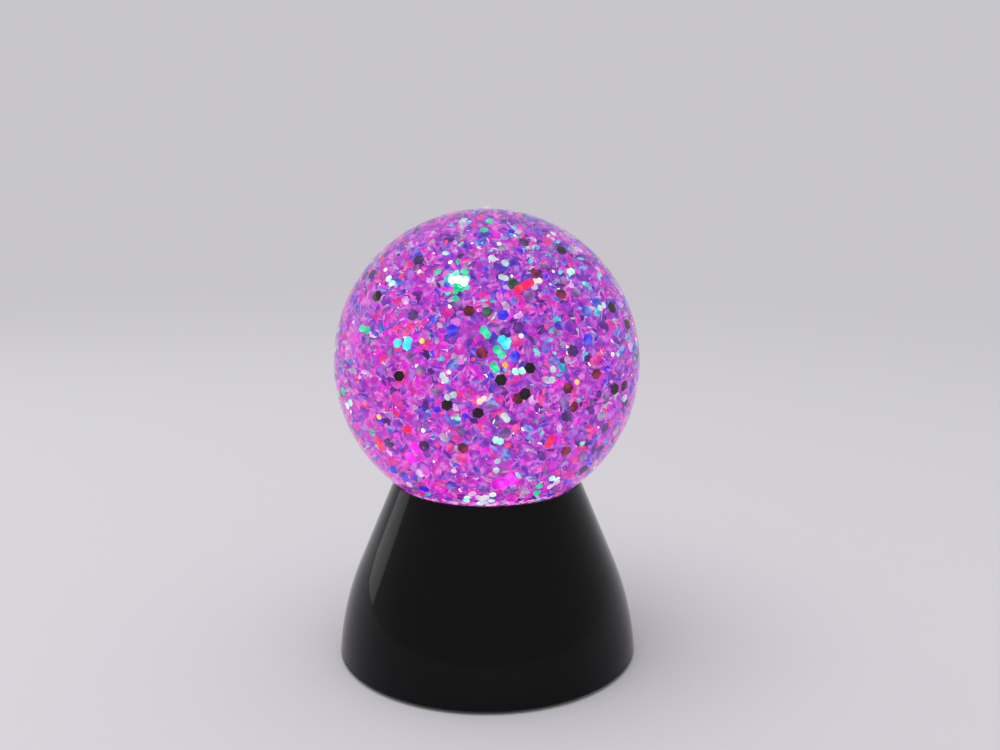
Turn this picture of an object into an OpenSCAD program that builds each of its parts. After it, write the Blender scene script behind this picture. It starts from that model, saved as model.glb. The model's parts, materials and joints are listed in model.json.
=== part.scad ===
// Glitter water ball lamp: a clear ball of water and foil flakes on a gloss black dome.
// A motor in the dome turns a magnet carrier, which drives an impeller in the ball's neck.
// Millimetres, +Z up, origin on the table under the ball, the switch at the back (+Y).

/* [Ball] */
// Outside diameter of the clear ball
ball_d = 100; // [94:1:106]
// Wall of the ball
ball_wall = 2; // [1.6:0.1:2.6]
// Height of the gate mark on the crown
gate_h = 0.7; // [0.4:0.1:1.2]
// Diameter of the gate mark
gate_d = 4; // [3:0.5:6]
// Outside diameter of the filling neck
neck_d = 30; // [29:0.5:32]
// Wall of the neck
neck_wall = 2; // [1.6:0.1:2.2]
// Length of the neck below the ball
neck_len = 3; // [2:0.5:5]

/* [Plug and impeller] */
// Thickness of the plug's flange
plug_t = 2; // [1.8:0.1:3]
// How far the flange stands out past the neck
plug_lip = 1.5; // [1:0.1:2.5]
// Height of the plug's spigot in the neck
spigot_h = 5; // [4:0.5:6]
// Wall of the spigot
spigot_wall = 1.7; // [1.5:0.1:2]
// Section of the O-ring
seal_d = 1.1; // [0.9:0.1:1.3]
// Diameter of the impeller's pivot pin
pivot_d = 2; // [1.6:0.1:3]
// Length of the pin that is pressed into the plug
pivot_grip = 2.6; // [2.2:0.1:3]
// Height of the boss that holds the pin
pivot_boss_h = 1.4; // [1.2:0.1:3]
// Diameter of the impeller
impeller_d = 19; // [17:0.5:20]
// Thickness of the impeller's hub
hub_h = 4.6; // [4.2:0.1:6]
// Number of blades
blade_n = 4; // [3:1:6]
// Height of the blades above the hub
blade_h = 9; // [6:0.5:12]
// Thickness of a blade
blade_t = 1.4; // [1:0.1:2]
// Diameter of the cap on the pin
pivot_cap_d = 3.6; // [3:0.1:4.4]
// Height of the cap
pivot_cap_h = 1.2; // [0.8:0.1:2]
// Diameter of the impeller's magnets
hub_magnet_d = 5; // [4:0.5:6]
// Thickness of the impeller's magnets
hub_magnet_h = 3; // [2:0.5:3.5]

/* [Glitter] */
// Width of a flake across its flats
flake_w = 3.2; // [2.4:0.1:4]
// Thickness of a flake
flake_t = 0.25; // [0.2:0.05:0.4]
// Places tried for flakes, about half of which fall inside the ball
flake_tries = 1340; // [200:20:1600]

/* [Base] */
// Diameter of the dome at its foot
base_d = 101; // [98:1:108]
// Diameter of the rim
rim_d = 62.2; // [61.4:0.2:66]
// Diameter of the circle where the rim meets the ball
seat_d = 60.6; // [58:0.2:61]
// How far the foot is drawn in from the line of the dome's conical top
dome_belly = 5; // [3:0.5:7]
// Radius of the arc that the lower part of the dome follows
dome_arc_r = 95; // [80:1:110]
// Wall of the dome
base_wall = 2.4; // [2:0.1:3]
// Height of the thick band under the rim that the ball sits in
seat_band = 4.5; // [3.5:0.5:6]
// Width of the seat in that band
seat_w = 4.3; // [3:0.1:5]
// Gap under the dome
base_lift = 0.8; // [0.5:0.1:1.5]
// Chamfer around the dome's foot
foot_chamfer = 0.6; // [0.3:0.1:1]

/* [Cover and cells] */
// How far the cover is set up into the dome
cover_set = 0.4; // [0.2:0.1:0.8]
// Thickness of the bottom cover
cover_t = 2.4; // [2.2:0.1:3]
// Diameter of a rubber foot
foot_d = 8; // [6:0.5:9]
// Depth of a foot's pocket in the cover
foot_pocket = 0.8; // [0.5:0.1:1.2]
// Diameter of a cell
cell_d = 14.5; // [13.5:0.1:14.5]
// Length of a cell
cell_len = 50.5; // [49:0.5:51]
// Length of a loaded contact spring
spring_len = 6; // [5.5:0.1:7]
// Wire of a contact spring
spring_wire = 0.8; // [0.6:0.1:0.9]
// Wall of the battery bay
bay_wall = 1.6; // [1.4:0.1:2]
// Roof of the battery bay
roof_t = 1.4; // [1.4:0.1:2]
// Thickness of the battery door at its edge
door_t = 1.2; // [1:0.1:1.3]
// Ledge that the door closes on
door_ledge = 7.4; // [7:0.1:8]

/* [Motor and drive] */
// Gap between the battery bay and the motor
motor_gap = 1.2; // [1:0.1:3]
// Diameter of the motor
motor_d = 24.4; // [22:0.1:26]
// Height of the motor's can
motor_h = 12.3; // [12:0.1:15]
// Wall of the motor's can
can_wall = 0.9; // [0.7:0.1:1.2]
// Diameter of the shaft
shaft_d = 2; // [1.5:0.1:3]
// Diameter of the magnet carrier
carrier_d = 24; // [22:0.5:25]
// Height of the magnet carrier
carrier_h = 5.4; // [5:0.1:7]
// Gap between the well's floor and the carrier
carrier_gap = 1.4; // [1.2:0.1:2]
// Gap between the carrier and the plug
drive_gap = 1.7; // [1:0.1:2.5]
// Diameter of a drive magnet
drive_magnet_d = 8; // [6:0.5:8.5]
// Thickness of a drive magnet
drive_magnet_h = 3; // [2:0.5:3.5]
// Thickness of the tray and the well's floor
tray_t = 1.8; // [1.6:0.1:2.4]

/* [Lights and boards] */
// Diameter of a LED's lens
led_d = 5; // [4.4:0.1:5.2]
// Height of a LED
led_h = 8.6; // [7.6:0.1:9]
// Gap between the LEDs and the ball
led_gap = 0.9; // [0.6:0.1:2]
// Thickness of the boards
board_t = 1.6; // [1:0.1:2]
// Width of the control board
board_w = 13.5; // [13.5:0.5:15]
// Length of the control board
board_len = 32; // [32:1:36]
// Height of the control board's posts
post_h = 3; // [2.5:0.1:4]
// Height of the capacitor
capacitor_h = 7; // [5:0.5:9]

/* [Switch] */
// Travel of the switch knob
switch_travel = 4; // [2:0.5:5]
// Width of the knob
knob_w = 5; // [4:0.5:6]
// Height of the knob
knob_h = 5; // [4:0.5:6]
// Width of the switch's body
switch_w = 12.6; // [12:0.2:13]
// Height of the switch's body
switch_h = 5.8; // [5.4:0.1:7]
// Depth of the switch's body
switch_depth = 6; // [5:0.5:7]

/* [Fits] */
// Sliding and loose fits
fit_gap = 0.3; // [0.2:0.05:0.4]
// Close fits of parts that don't move
seat_gap = 0.05; // [0.02:0.01:0.1]
// Running fit of a pin or shaft, on the radius
run_gap = 0.05; // [0.02:0.01:0.08]
// Gap between a cell's button and its contact
contact_gap = 0.05; // [0.02:0.01:0.2]

/* [Hidden] */
$fn = 96;
over = 1; // how far a cut runs past the face that it starts from

// Heights, from the table up to the ball
cover_z = base_lift + cover_set;
cover_top = cover_z + cover_t;
cell_r = cell_d / 2;
cell_z = cover_top + fit_gap + cell_r;
roof_z = cell_z + cell_r + fit_gap;
roof_top = roof_z + roof_t;
bearing_h = 1; // bearing bosses of the motor
can_z = roof_top + motor_gap + bearing_h;
floor_z = can_z + motor_h;
floor_top = floor_z + tray_t;
carrier_z = floor_top + carrier_gap;
plug_z = carrier_z + carrier_h + drive_gap;
neck_z = plug_z + plug_t;
ball_r = ball_d / 2;
inner_r = ball_r - ball_wall;
ball_z = neck_z + neck_len + ball_r;
seat_r = seat_d / 2;
rim_z = ball_z - sqrt(ball_r * ball_r - seat_r * seat_r);

// The dome's outline: an arc from the foot, then a straight cone that it is tangent to
base_r = base_d / 2;
rim_r = rim_d / 2;
foot_to_rim = [rim_r - base_r, rim_z - base_lift];
cone_a = atan2(-foot_to_rim[0], foot_to_rim[1]) + asin(dome_belly / norm(foot_to_rim));
cone_out = [cos(cone_a), sin(cone_a)];
cone_up = [-sin(cone_a), cos(cone_a)];
cone_len = foot_to_rim * cone_up - sqrt(dome_belly * (2 * dome_arc_r - dome_belly));
arc_top = [rim_r, rim_z] - cone_len * cone_up;
arc_centre = arc_top - dome_arc_r * cone_out;

// Radius of the dome at a height, set in from its outside
function dome_r(z, inset = 0) =
    let (join_z = arc_top[1] - inset * cone_out[1])
    z < join_z
        ? arc_centre[0] + sqrt(pow(dome_arc_r - inset, 2) - pow(z - arc_centre[1], 2))
        : rim_r - inset / cos(cone_a) + (rim_z - z) * tan(cone_a);

// Height of the ball's underside at a distance from the axis
function ball_under(r) = ball_z - sqrt(ball_r * ball_r - r * r);

// Neck, plug and impeller
neck_r = neck_d / 2;
bore_r = neck_r - neck_wall;
flange_r = neck_r + plug_lip;
spigot_r = bore_r - seat_gap;
spigot_in_r = spigot_r - spigot_wall;
seal_z = neck_z + spigot_h / 2;
seal_groove_r = bore_r - seal_d - 2 * seat_gap;
groove_h = seal_d + fit_gap;
pivot_r = pivot_d / 2;
pivot_z = neck_z + pivot_boss_h - pivot_grip;
pivot_boss_wall = 2;
pivot_boss_r = pivot_r + pivot_boss_wall;
hub_r = impeller_d / 2;
hub_z = neck_z + pivot_boss_h + fit_gap;
hub_top = hub_z + hub_h;
blade_top = hub_top + blade_h;
cap_z = hub_top + fit_gap;
pivot_top = cap_z + pivot_cap_h + fit_gap;
blade_in_r = pivot_cap_d / 2 + fit_gap;
hub_magnet_ring = (hub_r + pivot_r) / 2;

// Water and flakes
water_r = inner_r - fit_gap;
stir_r = hub_r + 2 * fit_gap;
stir_top = blade_top + 2 * fit_gap;
flake_r = flake_w / sqrt(3);
flake_zone_r = water_r - flake_r - 2 * fit_gap;
flake_stir_r = stir_r + flake_r + fit_gap;
flake_stir_top = stir_top + flake_r + fit_gap;
flake_sides = 6;
pocket_steps = 24; // steps of the round pocket that a flake lies in
// Roots of x^3 = x + 1 and x^4 = x + 1, which spread turns and places evenly
turn_number = 1.32471795724;
place_number = 1.22074408461;
flake_steps = [for (k = [1:3]) 1 / pow(place_number, k)];

// Tray, LED ring board and screws
screw_r = 1.3;
screw_head_r = 2.5;
screw_head_h = 1.2;
boss_r = 3;
tray_screw_len = 7;
screw_tip = 0.2; // hole left past the end of a screw
tray_boss_at = [30, 150, 270];
led_at = [90, 210, 330];
led_r = led_d / 2;
led_flange_lip = 0.4;
led_flange_r = led_r + led_flange_lip;
led_flange_h = 1;
led_leg_w = 0.5;
led_leg_pitch = 2.54;
led_leg_len = 2.6;
well_gap = 1.5;
well_r = carrier_d / 2 + well_gap;
well_wall = 1.8;
collar_r = flange_r + fit_gap;
collar_out_r = collar_r + well_wall;
led_to_collar = 2.4;
led_ring = collar_out_r + fit_gap + led_flange_r + led_to_collar;
board_z = ball_under(led_ring) - led_gap - led_h - board_t;
tray_z = board_z - tray_t;
tray_r = dome_r(board_z, base_wall) - 2 * fit_gap;
tray_boss_ring = tray_r - boss_r - fit_gap;
ring_board_in = collar_out_r + fit_gap;
ring_board_out = tray_boss_ring - boss_r - fit_gap;
tray_boss_top = rim_z - seat_band + base_wall / 2;

// Motor
motor_r = motor_d / 2;
can_in_r = motor_r - can_wall;
shaft_r = shaft_d / 2;
bearing_wall = 2;
bearing_r = shaft_r + bearing_wall;
end_cap_t = 2;
end_cap_drop = 0.4;
shaft_z = can_z - bearing_h / 2;
carrier_top_t = 1;
shaft_top = carrier_z + carrier_h - carrier_top_t;
commutator_h = 2.4;
rotor_room = 1.8; // between the rotor and the can's end
rotor_z = can_z + end_cap_t + commutator_h;
rotor_h = motor_h - end_cap_t - can_wall - commutator_h - rotor_room;
stator_t = 2;
stator_over = 0.5; // how far the magnets run past the rotor at each end
rotor_r = can_in_r - stator_t - 3 * fit_gap;
commutator_wall = 1.6;
commutator_r = shaft_r + commutator_wall;
rotor_slot = 2.6;
motor_screw_r = 0.9;
motor_screw_ring = (motor_r + bearing_r) / 2;
motor_head_r = 1.8;
motor_head_h = 0.8;
motor_screw_end = 0.6; // how far the screws come through into the can
motor_screw_len = tray_t - motor_head_h + can_wall + motor_screw_end;
carrier_magnet_ring = (carrier_d / 2 + shaft_r) / 2;
terminal_out = 0.7; // how far the tags stand out past the can

// Bottom cover, battery bay and door
cover_r = dome_r(cover_top, base_wall) - fit_gap;
cover_boss_h = 13;
cover_boss_gap = 1.4;
cover_ring = base_r - base_wall - boss_r - cover_boss_gap;
cover_rib = 2.4;
cover_screw_at = [65, 115, 245, 295];
cover_screw_len = 10;
cell_gap = 0.5;
cell_pitch = cell_d + cell_gap;
plate_t = 0.4;
bay_x = plate_t + (cell_len + contact_gap + spring_len) / 2;
bay_y = 1.5 * cell_pitch;
bay_out_x = bay_x + bay_wall;
bay_out_y = bay_y + bay_wall;
rib_t = 0.7;
rib_h = 0.6 * cell_r;
door_x = bay_x + door_ledge;
door_y = bay_out_y + fit_gap;
boss_merge = 0.4;
door_screw_x = bay_out_x + boss_r - boss_merge;
door_screw_len = 8;
door_boss_h = 8;
door_head_h = 0.7;
plate_w = 10;
tail_w = 3;
tail_rise = 2;
tail_top = roof_top + tail_rise;
tail_y = cell_pitch + (plate_w - tail_w) / 2;
nub_r = 2.75;
nub_h = 1.3;

// Feet, between the cover's edge and the battery door
foot_edge = 2;
foot_to_door = 0.9;
foot_ring = cover_r - foot_d / 2 - foot_edge;
foot_turn = asin((door_y + foot_to_door + foot_d / 2) / foot_ring);
foot_at = [foot_turn, 180 - foot_turn, 180 + foot_turn, 360 - foot_turn];

// Contact springs: each one cone of turns from the plate to the cell
spring_turns = 3;
spring_steps = 8 * spring_turns;
spring_big_r = 5.4;
spring_small_r = 3;

// Control board, on posts over the battery bay beside the motor
board_to_motor = 1.3;
board_x = motor_r + board_to_motor;
board_far = board_x + board_w;
board_mid = board_x + board_w / 2;
control_z = roof_top + post_h;
control_top = control_z + board_t;
board_screw_edge = 3;
board_screw_y = board_len / 2 - board_screw_edge;
board_screw_r = 1;
board_head_r = 2;
board_head_h = 1;
board_screw_end = 0.4;
board_screw_len = board_t + post_h - board_screw_end;
post_r = 2.5;
solder_in = 1.8;
solder_out = 2;
solder_step = 1.8;
pad_in_x = board_x + solder_in;
pad_out_x = board_far - solder_out;
chip_to_pads = 1;
chip = [4, 5, 1.5];
capacitor_r = 2.4;
resistor = [1.6, 3.2, 0.6];
resistor_pitch = 2.4;
parts_to_screw = 4.8;
resistor_y = board_screw_y - parts_to_screw;
capacitor_y = parts_to_screw - board_screw_y;
led_wire_pitch = 3.4;
led_wire_in = 1.4;
led_wire_x = led_ring - led_wire_in;

// Wires: straight stubs at both ends, and how they bow between them
wire_r = 0.6;
wire_stub = 3;
wire_foot = 2.5;
wire_bow = 5;
led_wire_bow = 1.2;
wire_side = 3;
wire_spread = 1.5;
switch_wire_rise = 7;
wire_to_bay = 3.5;

// Switch, in a flat pocket at the back of the dome
pocket_side = 2;
pocket_rise = 1.2;
pocket_w = knob_w + switch_travel + 2 * pocket_side;
pocket_h = knob_h + 2 * pocket_rise;
pad_edge = 2;
pad_h = pocket_h + 2 * pad_edge;
pad_lift = 3;
switch_z = cover_top + pad_h / 2 + pad_lift;
pocket_depth = 1.2;
pocket_y = sqrt(pow(dome_r(switch_z + pocket_h / 2), 2) - pow(pocket_w / 2, 2))
    - pocket_depth;
pocket_lean = 25; // degrees that the pocket's walls lean out
pocket_reach = base_r - pocket_y + over;
pad_t = 2.2;
pad_y = pocket_y - pad_t;
pad_w = 22;
frame_t = 0.5;
frame_w = 20.4;
frame_y = pad_y - frame_t;
switch_y = frame_y - switch_depth;
switch_screw_x = (switch_w / 2 + frame_w / 2) / 2;
switch_screw_r = 0.7;
switch_head_r = 1.2;
switch_head_h = 0.7;
stem_w = 3;
stem_h = 2.6;
stem_depth = 3;
slot_w = stem_w + switch_travel + 2 * fit_gap;
slot_h = stem_h + 2 * fit_gap;
knob_t = 1.6;
knob_rib_t = 0.5;
knob_at = -switch_travel / 2;
tag_w = 1.6;
tag_t = 0.5;
tag_len = 3;
tag_x = 3;
tag_y = switch_y - tag_len;

// Shared shapes

// A disc with a hole through it
module washer(r_out, r_in, h) {
    difference() {
        cylinder(r = r_out, h = h);
        translate([0, 0, -over]) cylinder(r = r_in, h = h + 2 * over);
    }
}

// Its children, turned to each angle and moved out to a circle
module around(ring, angles) {
    for (a = angles) rotate([0, 0, a]) translate([ring, 0, 0]) children();
}

// A screw, head down, whose head's upper face is at z = 0
module screw(r, len, head_r, head_h) {
    slot = head_r / 4;
    difference() {
        union() {
            translate([0, 0, -head_h]) cylinder(r = head_r, h = head_h);
            cylinder(r = r, h = len);
        }
        for (a = [0, 90]) rotate([0, 0, a])
            translate([-head_r * 0.6, -slot / 2, -head_h - over])
                cube([head_r * 1.2, slot, head_h / 2 + over]);
    }
}

// A block centred on X and Y that stands on z
module block(x, y, z, h) {
    translate([-x / 2, -y / 2, z]) cube([x, y, h]);
}

// The area inside the dome's outline, set in from it, between two heights
module dome_area(inset = 0, low = base_lift, high = rim_z) {
    join = arc_top - inset * cone_out;
    intersection() {
        translate(arc_centre) circle(r = dome_arc_r - inset, $fn = 256);
        translate([0, low]) square([base_d, join[1] - low]);
    }
    polygon([[0, join[1]], join, [dome_r(high, inset), high], [0, high]]);
}

// What lies inside the middle of the dome's wall, to trim bosses with
module dome_core() {
    rotate_extrude() dome_area(base_wall / 2);
}

// Wires: a smooth curve through chosen points, straight at both ends, swept as a tube
function unit(v) = v / norm(v);
function curve(a, b, c, d, t) =
    (2 * b + (c - a) * t + (2 * a - 5 * b + 4 * c - d) * t * t
        + (3 * b - a - 3 * c + d) * t * t * t) / 2;
function smooth(p, n = 3) =
    let (last = len(p) - 1)
    [p[0], for (i = [1:last - 2]) for (k = [0:n - 1])
        curve(p[i - 1], p[i], p[i + 1], p[i + 2], k / n), p[last - 1], p[last]];
function tangents(p) =
    let (last = len(p) - 1)
    [for (i = [0:last]) unit(p[min(i + 1, last)] - p[max(i - 1, 0)])];
function square_to(t) = unit(cross(t, abs(t[2]) < 0.8 ? [0, 0, 1] : [1, 0, 0]));
function normals(t) =
    [for (i = 0, n = square_to(t[0]); i < len(t);
        i = i + 1, n = unit(n - (n * t[min(i, len(t) - 1)]) * t[min(i, len(t) - 1)])) n];

module tube(path, r, sides) {
    t = tangents(path);
    n = normals(t);
    last = len(path) - 1;
    points = [for (i = [0:last]) for (k = [0:sides - 1])
        path[i] + r * (cos(360 * k / sides) * n[i] + sin(360 * k / sides) * cross(t[i], n[i]))];
    walls = [for (i = [0:last - 1]) for (k = [0:sides - 1])
        let (a = i * sides + k, b = i * sides + (k + 1) % sides)
        each [[a, a + sides, b], [b, a + sides, b + sides]]];
    near_end = [for (k = [1:sides - 2]) [0, k, k + 1]];
    far_end = [for (k = [1:sides - 2]) [last * sides, last * sides + k + 1, last * sides + k]];
    polyhedron(points, concat(walls, near_end, far_end));
}

module wire(points) {
    tube(smooth(points), wire_r, 8);
}

// The ball and what is in it

module ball_shell() {
    color("white", 0.3) translate([0, 0, ball_z]) difference() {
        union() {
            sphere(r = ball_r);
            translate([0, 0, ball_r - ball_wall / 2])
                cylinder(r1 = gate_d / 2, r2 = gate_d / 4, h = ball_wall / 2 + gate_h);
            translate([0, 0, neck_z - ball_z]) cylinder(r = neck_r, h = neck_len + ball_wall);
        }
        sphere(r = inner_r);
        translate([0, 0, neck_z - ball_z - over]) cylinder(r = bore_r, h = ball_r / 2);
    }
}

// Flakes: points of a sequence that fills the ball evenly, each with its own tilt
function part_of(x) = x - floor(x);
flake_spots = [for (i = [1:flake_tries])
    let (p = flake_zone_r * [for (s = flake_steps) 2 * part_of(0.5 + i * s) - 1])
    let (low = ball_z + p[2] < flake_stir_top, near = norm([p[0], p[1]]) < flake_stir_r)
    if (norm(p) < flake_zone_r && !(low && near))
        [p, [0, 180 * part_of(i / turn_number), 360 * part_of(i / pow(turn_number, 2))]]];

module flakes(grow, steps) {
    for (f = flake_spots) translate(f[0]) rotate(f[1])
        cylinder(r = flake_r + grow, h = flake_t + 2 * grow, center = true, $fn = steps);
}

module glitter_flakes() {
    color("orchid") translate([0, 0, ball_z]) flakes(0, flake_sides);
}

module water_fill() {
    color("plum", 0.3) translate([0, 0, ball_z]) difference() {
        sphere(r = water_r);
        translate([0, 0, -ball_r]) cylinder(r = stir_r, h = stir_top - ball_z + ball_r);
        flakes(seat_gap, pocket_steps);
    }
}

module neck_plug() {
    color("white") difference() {
        union() {
            translate([0, 0, plug_z]) cylinder(r = flange_r, h = plug_t);
            translate([0, 0, neck_z]) washer(spigot_r, spigot_in_r, spigot_h);
            translate([0, 0, neck_z]) cylinder(r = pivot_boss_r, h = pivot_boss_h);
        }
        translate([0, 0, seal_z - groove_h / 2]) washer(spigot_r + over, seal_groove_r, groove_h);
        translate([0, 0, pivot_z - seat_gap]) cylinder(r = pivot_r + seat_gap, h = pivot_grip + over);
    }
}

module plug_seal() {
    color("dimgray") translate([0, 0, seal_z]) rotate_extrude()
        translate([bore_r - seat_gap - seal_d / 2, 0]) circle(d = seal_d, $fn = 48);
}

module impeller() {
    color("white") difference() {
        union() {
            translate([0, 0, hub_z]) cylinder(r = hub_r, h = hub_h);
            for (k = [0:blade_n - 1]) rotate([0, 0, (k + 0.5) * 360 / blade_n])
                translate([blade_in_r, -blade_t / 2, hub_z])
                    cube([hub_r - blade_in_r - blade_t / 2, blade_t, hub_h + blade_h]);
        }
        translate([0, 0, hub_z - over]) cylinder(r = pivot_r + run_gap, h = hub_h + 2 * over);
        translate([0, 0, hub_z - over]) around(hub_magnet_ring, [0, 180])
            cylinder(r = hub_magnet_d / 2 + seat_gap, h = hub_magnet_h + over + seat_gap);
    }
}

module impeller_magnets() {
    color("silver") translate([0, 0, hub_z]) around(hub_magnet_ring, [0, 180])
        cylinder(d = hub_magnet_d, h = hub_magnet_h);
}

module impeller_pivot() {
    color("silver") translate([0, 0, pivot_z]) cylinder(r = pivot_r, h = pivot_top - pivot_z);
}

module pivot_cap() {
    color("white") translate([0, 0, cap_z]) washer(pivot_cap_d / 2, pivot_r + seat_gap, pivot_cap_h);
}

// The dome

module base_shell() {
    color([0.03, 0.03, 0.035]) difference() {
        union() {
            rotate_extrude() difference() {
                dome_area();
                difference() {
                    dome_area(base_wall, base_lift - over, rim_z + over);
                    translate([seat_r - seat_w, rim_z - seat_band]) square([base_r, seat_band + over]);
                }
                polygon([[base_r - foot_chamfer, base_lift - over / 2],
                    [base_r + over, base_lift - over / 2],
                    [base_r + over, base_lift + foot_chamfer + over],
                    [base_r - foot_chamfer, base_lift]]);
            }
            intersection() {
                dome_core();
                union() {
                    tray_bosses();
                    cover_bosses();
                    translate([-pad_w / 2, pad_y, switch_z - pad_h / 2]) cube([pad_w, base_r, pad_h]);
                }
            }
        }
        translate([0, 0, ball_z]) sphere(r = ball_r + seat_gap);
        translate([0, 0, board_z - tray_t - over]) around(tray_boss_ring, tray_boss_at)
            cylinder(r = screw_r + seat_gap, h = tray_screw_len + over);
        translate([0, 0, cover_z]) around(cover_ring, cover_screw_at)
            cylinder(r = screw_r + seat_gap, h = cover_screw_len);
        translate([0, pocket_y, switch_z]) {
            switch_pocket();
            translate([-slot_w / 2, -pad_t - over, -slot_h / 2])
                cube([slot_w, pad_t + 2 * over, slot_h]);
        }
        for (s = [-1, 1]) translate([s * switch_screw_x, pad_y, switch_z]) rotate([90, 0, 0])
            cylinder(r = switch_screw_r + seat_gap, h = 2 * (pad_t - frame_t), center = true);
    }
}

// A side of the switch pocket: its width at the floor, opening outwards
module pocket_side_area(w) {
    grow = pocket_reach * tan(pocket_lean);
    polygon([[-w / 2, 0], [w / 2, 0], [w / 2 + grow, pocket_reach], [-w / 2 - grow, pocket_reach]]);
}

module switch_pocket() {
    intersection() {
        linear_extrude(height = base_d, center = true) pocket_side_area(pocket_w);
        rotate([0, 90, 0]) linear_extrude(height = base_d, center = true) pocket_side_area(pocket_h);
    }
}

module tray_bosses() {
    translate([0, 0, board_z]) around(tray_boss_ring, tray_boss_at)
        cylinder(r = boss_r, h = tray_boss_top - board_z);
}

module cover_bosses() {
    translate([0, 0, cover_top]) around(cover_ring, cover_screw_at) {
        cylinder(r = boss_r, h = cover_boss_h);
        translate([0, -cover_rib / 2, 0]) cube([base_r - cover_ring, cover_rib, cover_boss_h]);
    }
}

// Tray with the LED ring board, and the well that the carrier turns in

module light_tray() {
    collar_low = min(tray_z, plug_z - tray_t);
    collar_high = max(board_z, plug_z);
    color("ghostwhite") difference() {
        union() {
            translate([0, 0, tray_z]) washer(tray_r, collar_r, tray_t);
            translate([0, 0, collar_low]) washer(collar_out_r, collar_r, collar_high - collar_low);
            translate([0, 0, plug_z - tray_t]) washer(collar_out_r, well_r, tray_t);
            translate([0, 0, floor_z]) washer(well_r + well_wall, well_r, plug_z - floor_z);
            translate([0, 0, floor_z]) cylinder(r = well_r + well_wall / 2, h = tray_t);
        }
        translate([0, 0, floor_z - over]) cylinder(r = bearing_r + seat_gap, h = tray_t + 2 * over);
        translate([0, 0, floor_z - over]) around(motor_screw_ring, [0, 180])
            cylinder(r = motor_screw_r + seat_gap, h = tray_t + 2 * over);
        translate([0, 0, floor_top - motor_head_h]) around(motor_screw_ring, [0, 180])
            cylinder(r = motor_head_r + fit_gap, h = motor_head_h + over);
        translate([0, 0, tray_z - over]) {
            around(tray_boss_ring, tray_boss_at) cylinder(r = screw_r + fit_gap, h = tray_t + 2 * over);
            around(led_ring, led_at) cylinder(r = led_leg_pitch, h = tray_t + 2 * over);
            translate([led_wire_x, 0, 0]) block(4 * wire_r, 4 * led_wire_pitch, 0, tray_t + 2 * over);
        }
    }
}

module tray_screws() {
    color("silver") translate([0, 0, tray_z]) around(tray_boss_ring, tray_boss_at)
        screw(screw_r, tray_screw_len - screw_tip, screw_head_r, screw_head_h);
}

module led_board() {
    color("darkgreen") translate([0, 0, board_z]) difference() {
        washer(ring_board_out, ring_board_in, board_t);
        around(led_ring, led_at) for (s = [-1, 1]) translate([0, s * led_leg_pitch / 2, -over])
            cylinder(r = led_leg_w, h = board_t + 2 * over);
    }
}

// A LED at its place on the ring, with its legs through the board
module led(angle) {
    translate([0, 0, board_z + board_t]) around(led_ring, [angle]) {
        cylinder(r = led_flange_r, h = led_flange_h);
        cylinder(r = led_r, h = led_h - led_r);
        translate([0, 0, led_h - led_r]) sphere(r = led_r);
        for (s = [-1, 1]) translate([0, s * led_leg_pitch / 2, -led_leg_len])
            block(led_leg_w, led_leg_w, 0, led_leg_len + led_flange_h / 2);
    }
}

module red_led() {
    color("red") led(led_at[0]);
}

module green_led() {
    color("lime") led(led_at[1]);
}

module blue_led() {
    color("blue") led(led_at[2]);
}

// Motor and magnet carrier

module motor_can() {
    color("silver") difference() {
        union() {
            translate([0, 0, can_z]) cylinder(r = motor_r, h = motor_h);
            translate([0, 0, floor_z]) cylinder(r = bearing_r, h = bearing_h);
        }
        translate([0, 0, can_z - over]) cylinder(r = can_in_r, h = motor_h - can_wall + over);
        translate([0, 0, can_z]) cylinder(r = shaft_r + run_gap, h = motor_h + 2 * bearing_h);
        translate([0, 0, can_z]) around(motor_screw_ring, [0, 180])
            cylinder(r = motor_screw_r + seat_gap, h = motor_h + over);
    }
}

module motor_magnets() {
    arc = 150;
    color("dimgray") translate([0, 0, rotor_z - stator_over]) for (a = [0, 180])
        rotate([0, 0, a - arc / 2]) rotate_extrude(angle = arc)
            translate([can_in_r - seat_gap - stator_t, 0])
                square([stator_t, rotor_h + 2 * stator_over]);
}

module motor_rotor() {
    pole_n = 3;
    color("peru") difference() {
        union() {
            translate([0, 0, rotor_z]) cylinder(r = rotor_r, h = rotor_h);
            translate([0, 0, can_z + end_cap_t + fit_gap])
                cylinder(r = commutator_r, h = rotor_z - can_z - end_cap_t);
        }
        for (k = [0:pole_n - 1]) rotate([0, 0, k * 360 / pole_n])
            translate([commutator_r, -rotor_slot / 2, rotor_z - over / 2])
                cube([rotor_r, rotor_slot, rotor_h + over]);
        translate([0, 0, can_z]) cylinder(r = shaft_r + seat_gap / 2, h = motor_h);
    }
}

module motor_shaft() {
    color("silver") translate([0, 0, shaft_z]) cylinder(r = shaft_r, h = shaft_top - shaft_z);
}

module motor_end_cap() {
    color("ivory") difference() {
        union() {
            translate([0, 0, can_z - end_cap_drop])
                cylinder(r = can_in_r - seat_gap, h = end_cap_t + end_cap_drop);
            translate([0, 0, can_z - bearing_h]) cylinder(r = bearing_r, h = bearing_h);
        }
        translate([0, 0, shaft_z - fit_gap]) cylinder(r = shaft_r + run_gap, h = motor_h);
    }
}

module motor_terminals() {
    reach = motor_r + terminal_out;
    color("goldenrod") for (s = [-1, 1])
        translate([motor_r / 2, s * motor_screw_ring - tag_w / 2, can_z - end_cap_drop - plate_t])
            cube([reach - motor_r / 2, tag_w, plate_t]);
}

module motor_screws() {
    color("silver") translate([0, 0, floor_top - motor_head_h]) around(motor_screw_ring, [0, 180])
        rotate([180, 0, 0]) screw(motor_screw_r, motor_screw_len, motor_head_r, motor_head_h);
}

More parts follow.
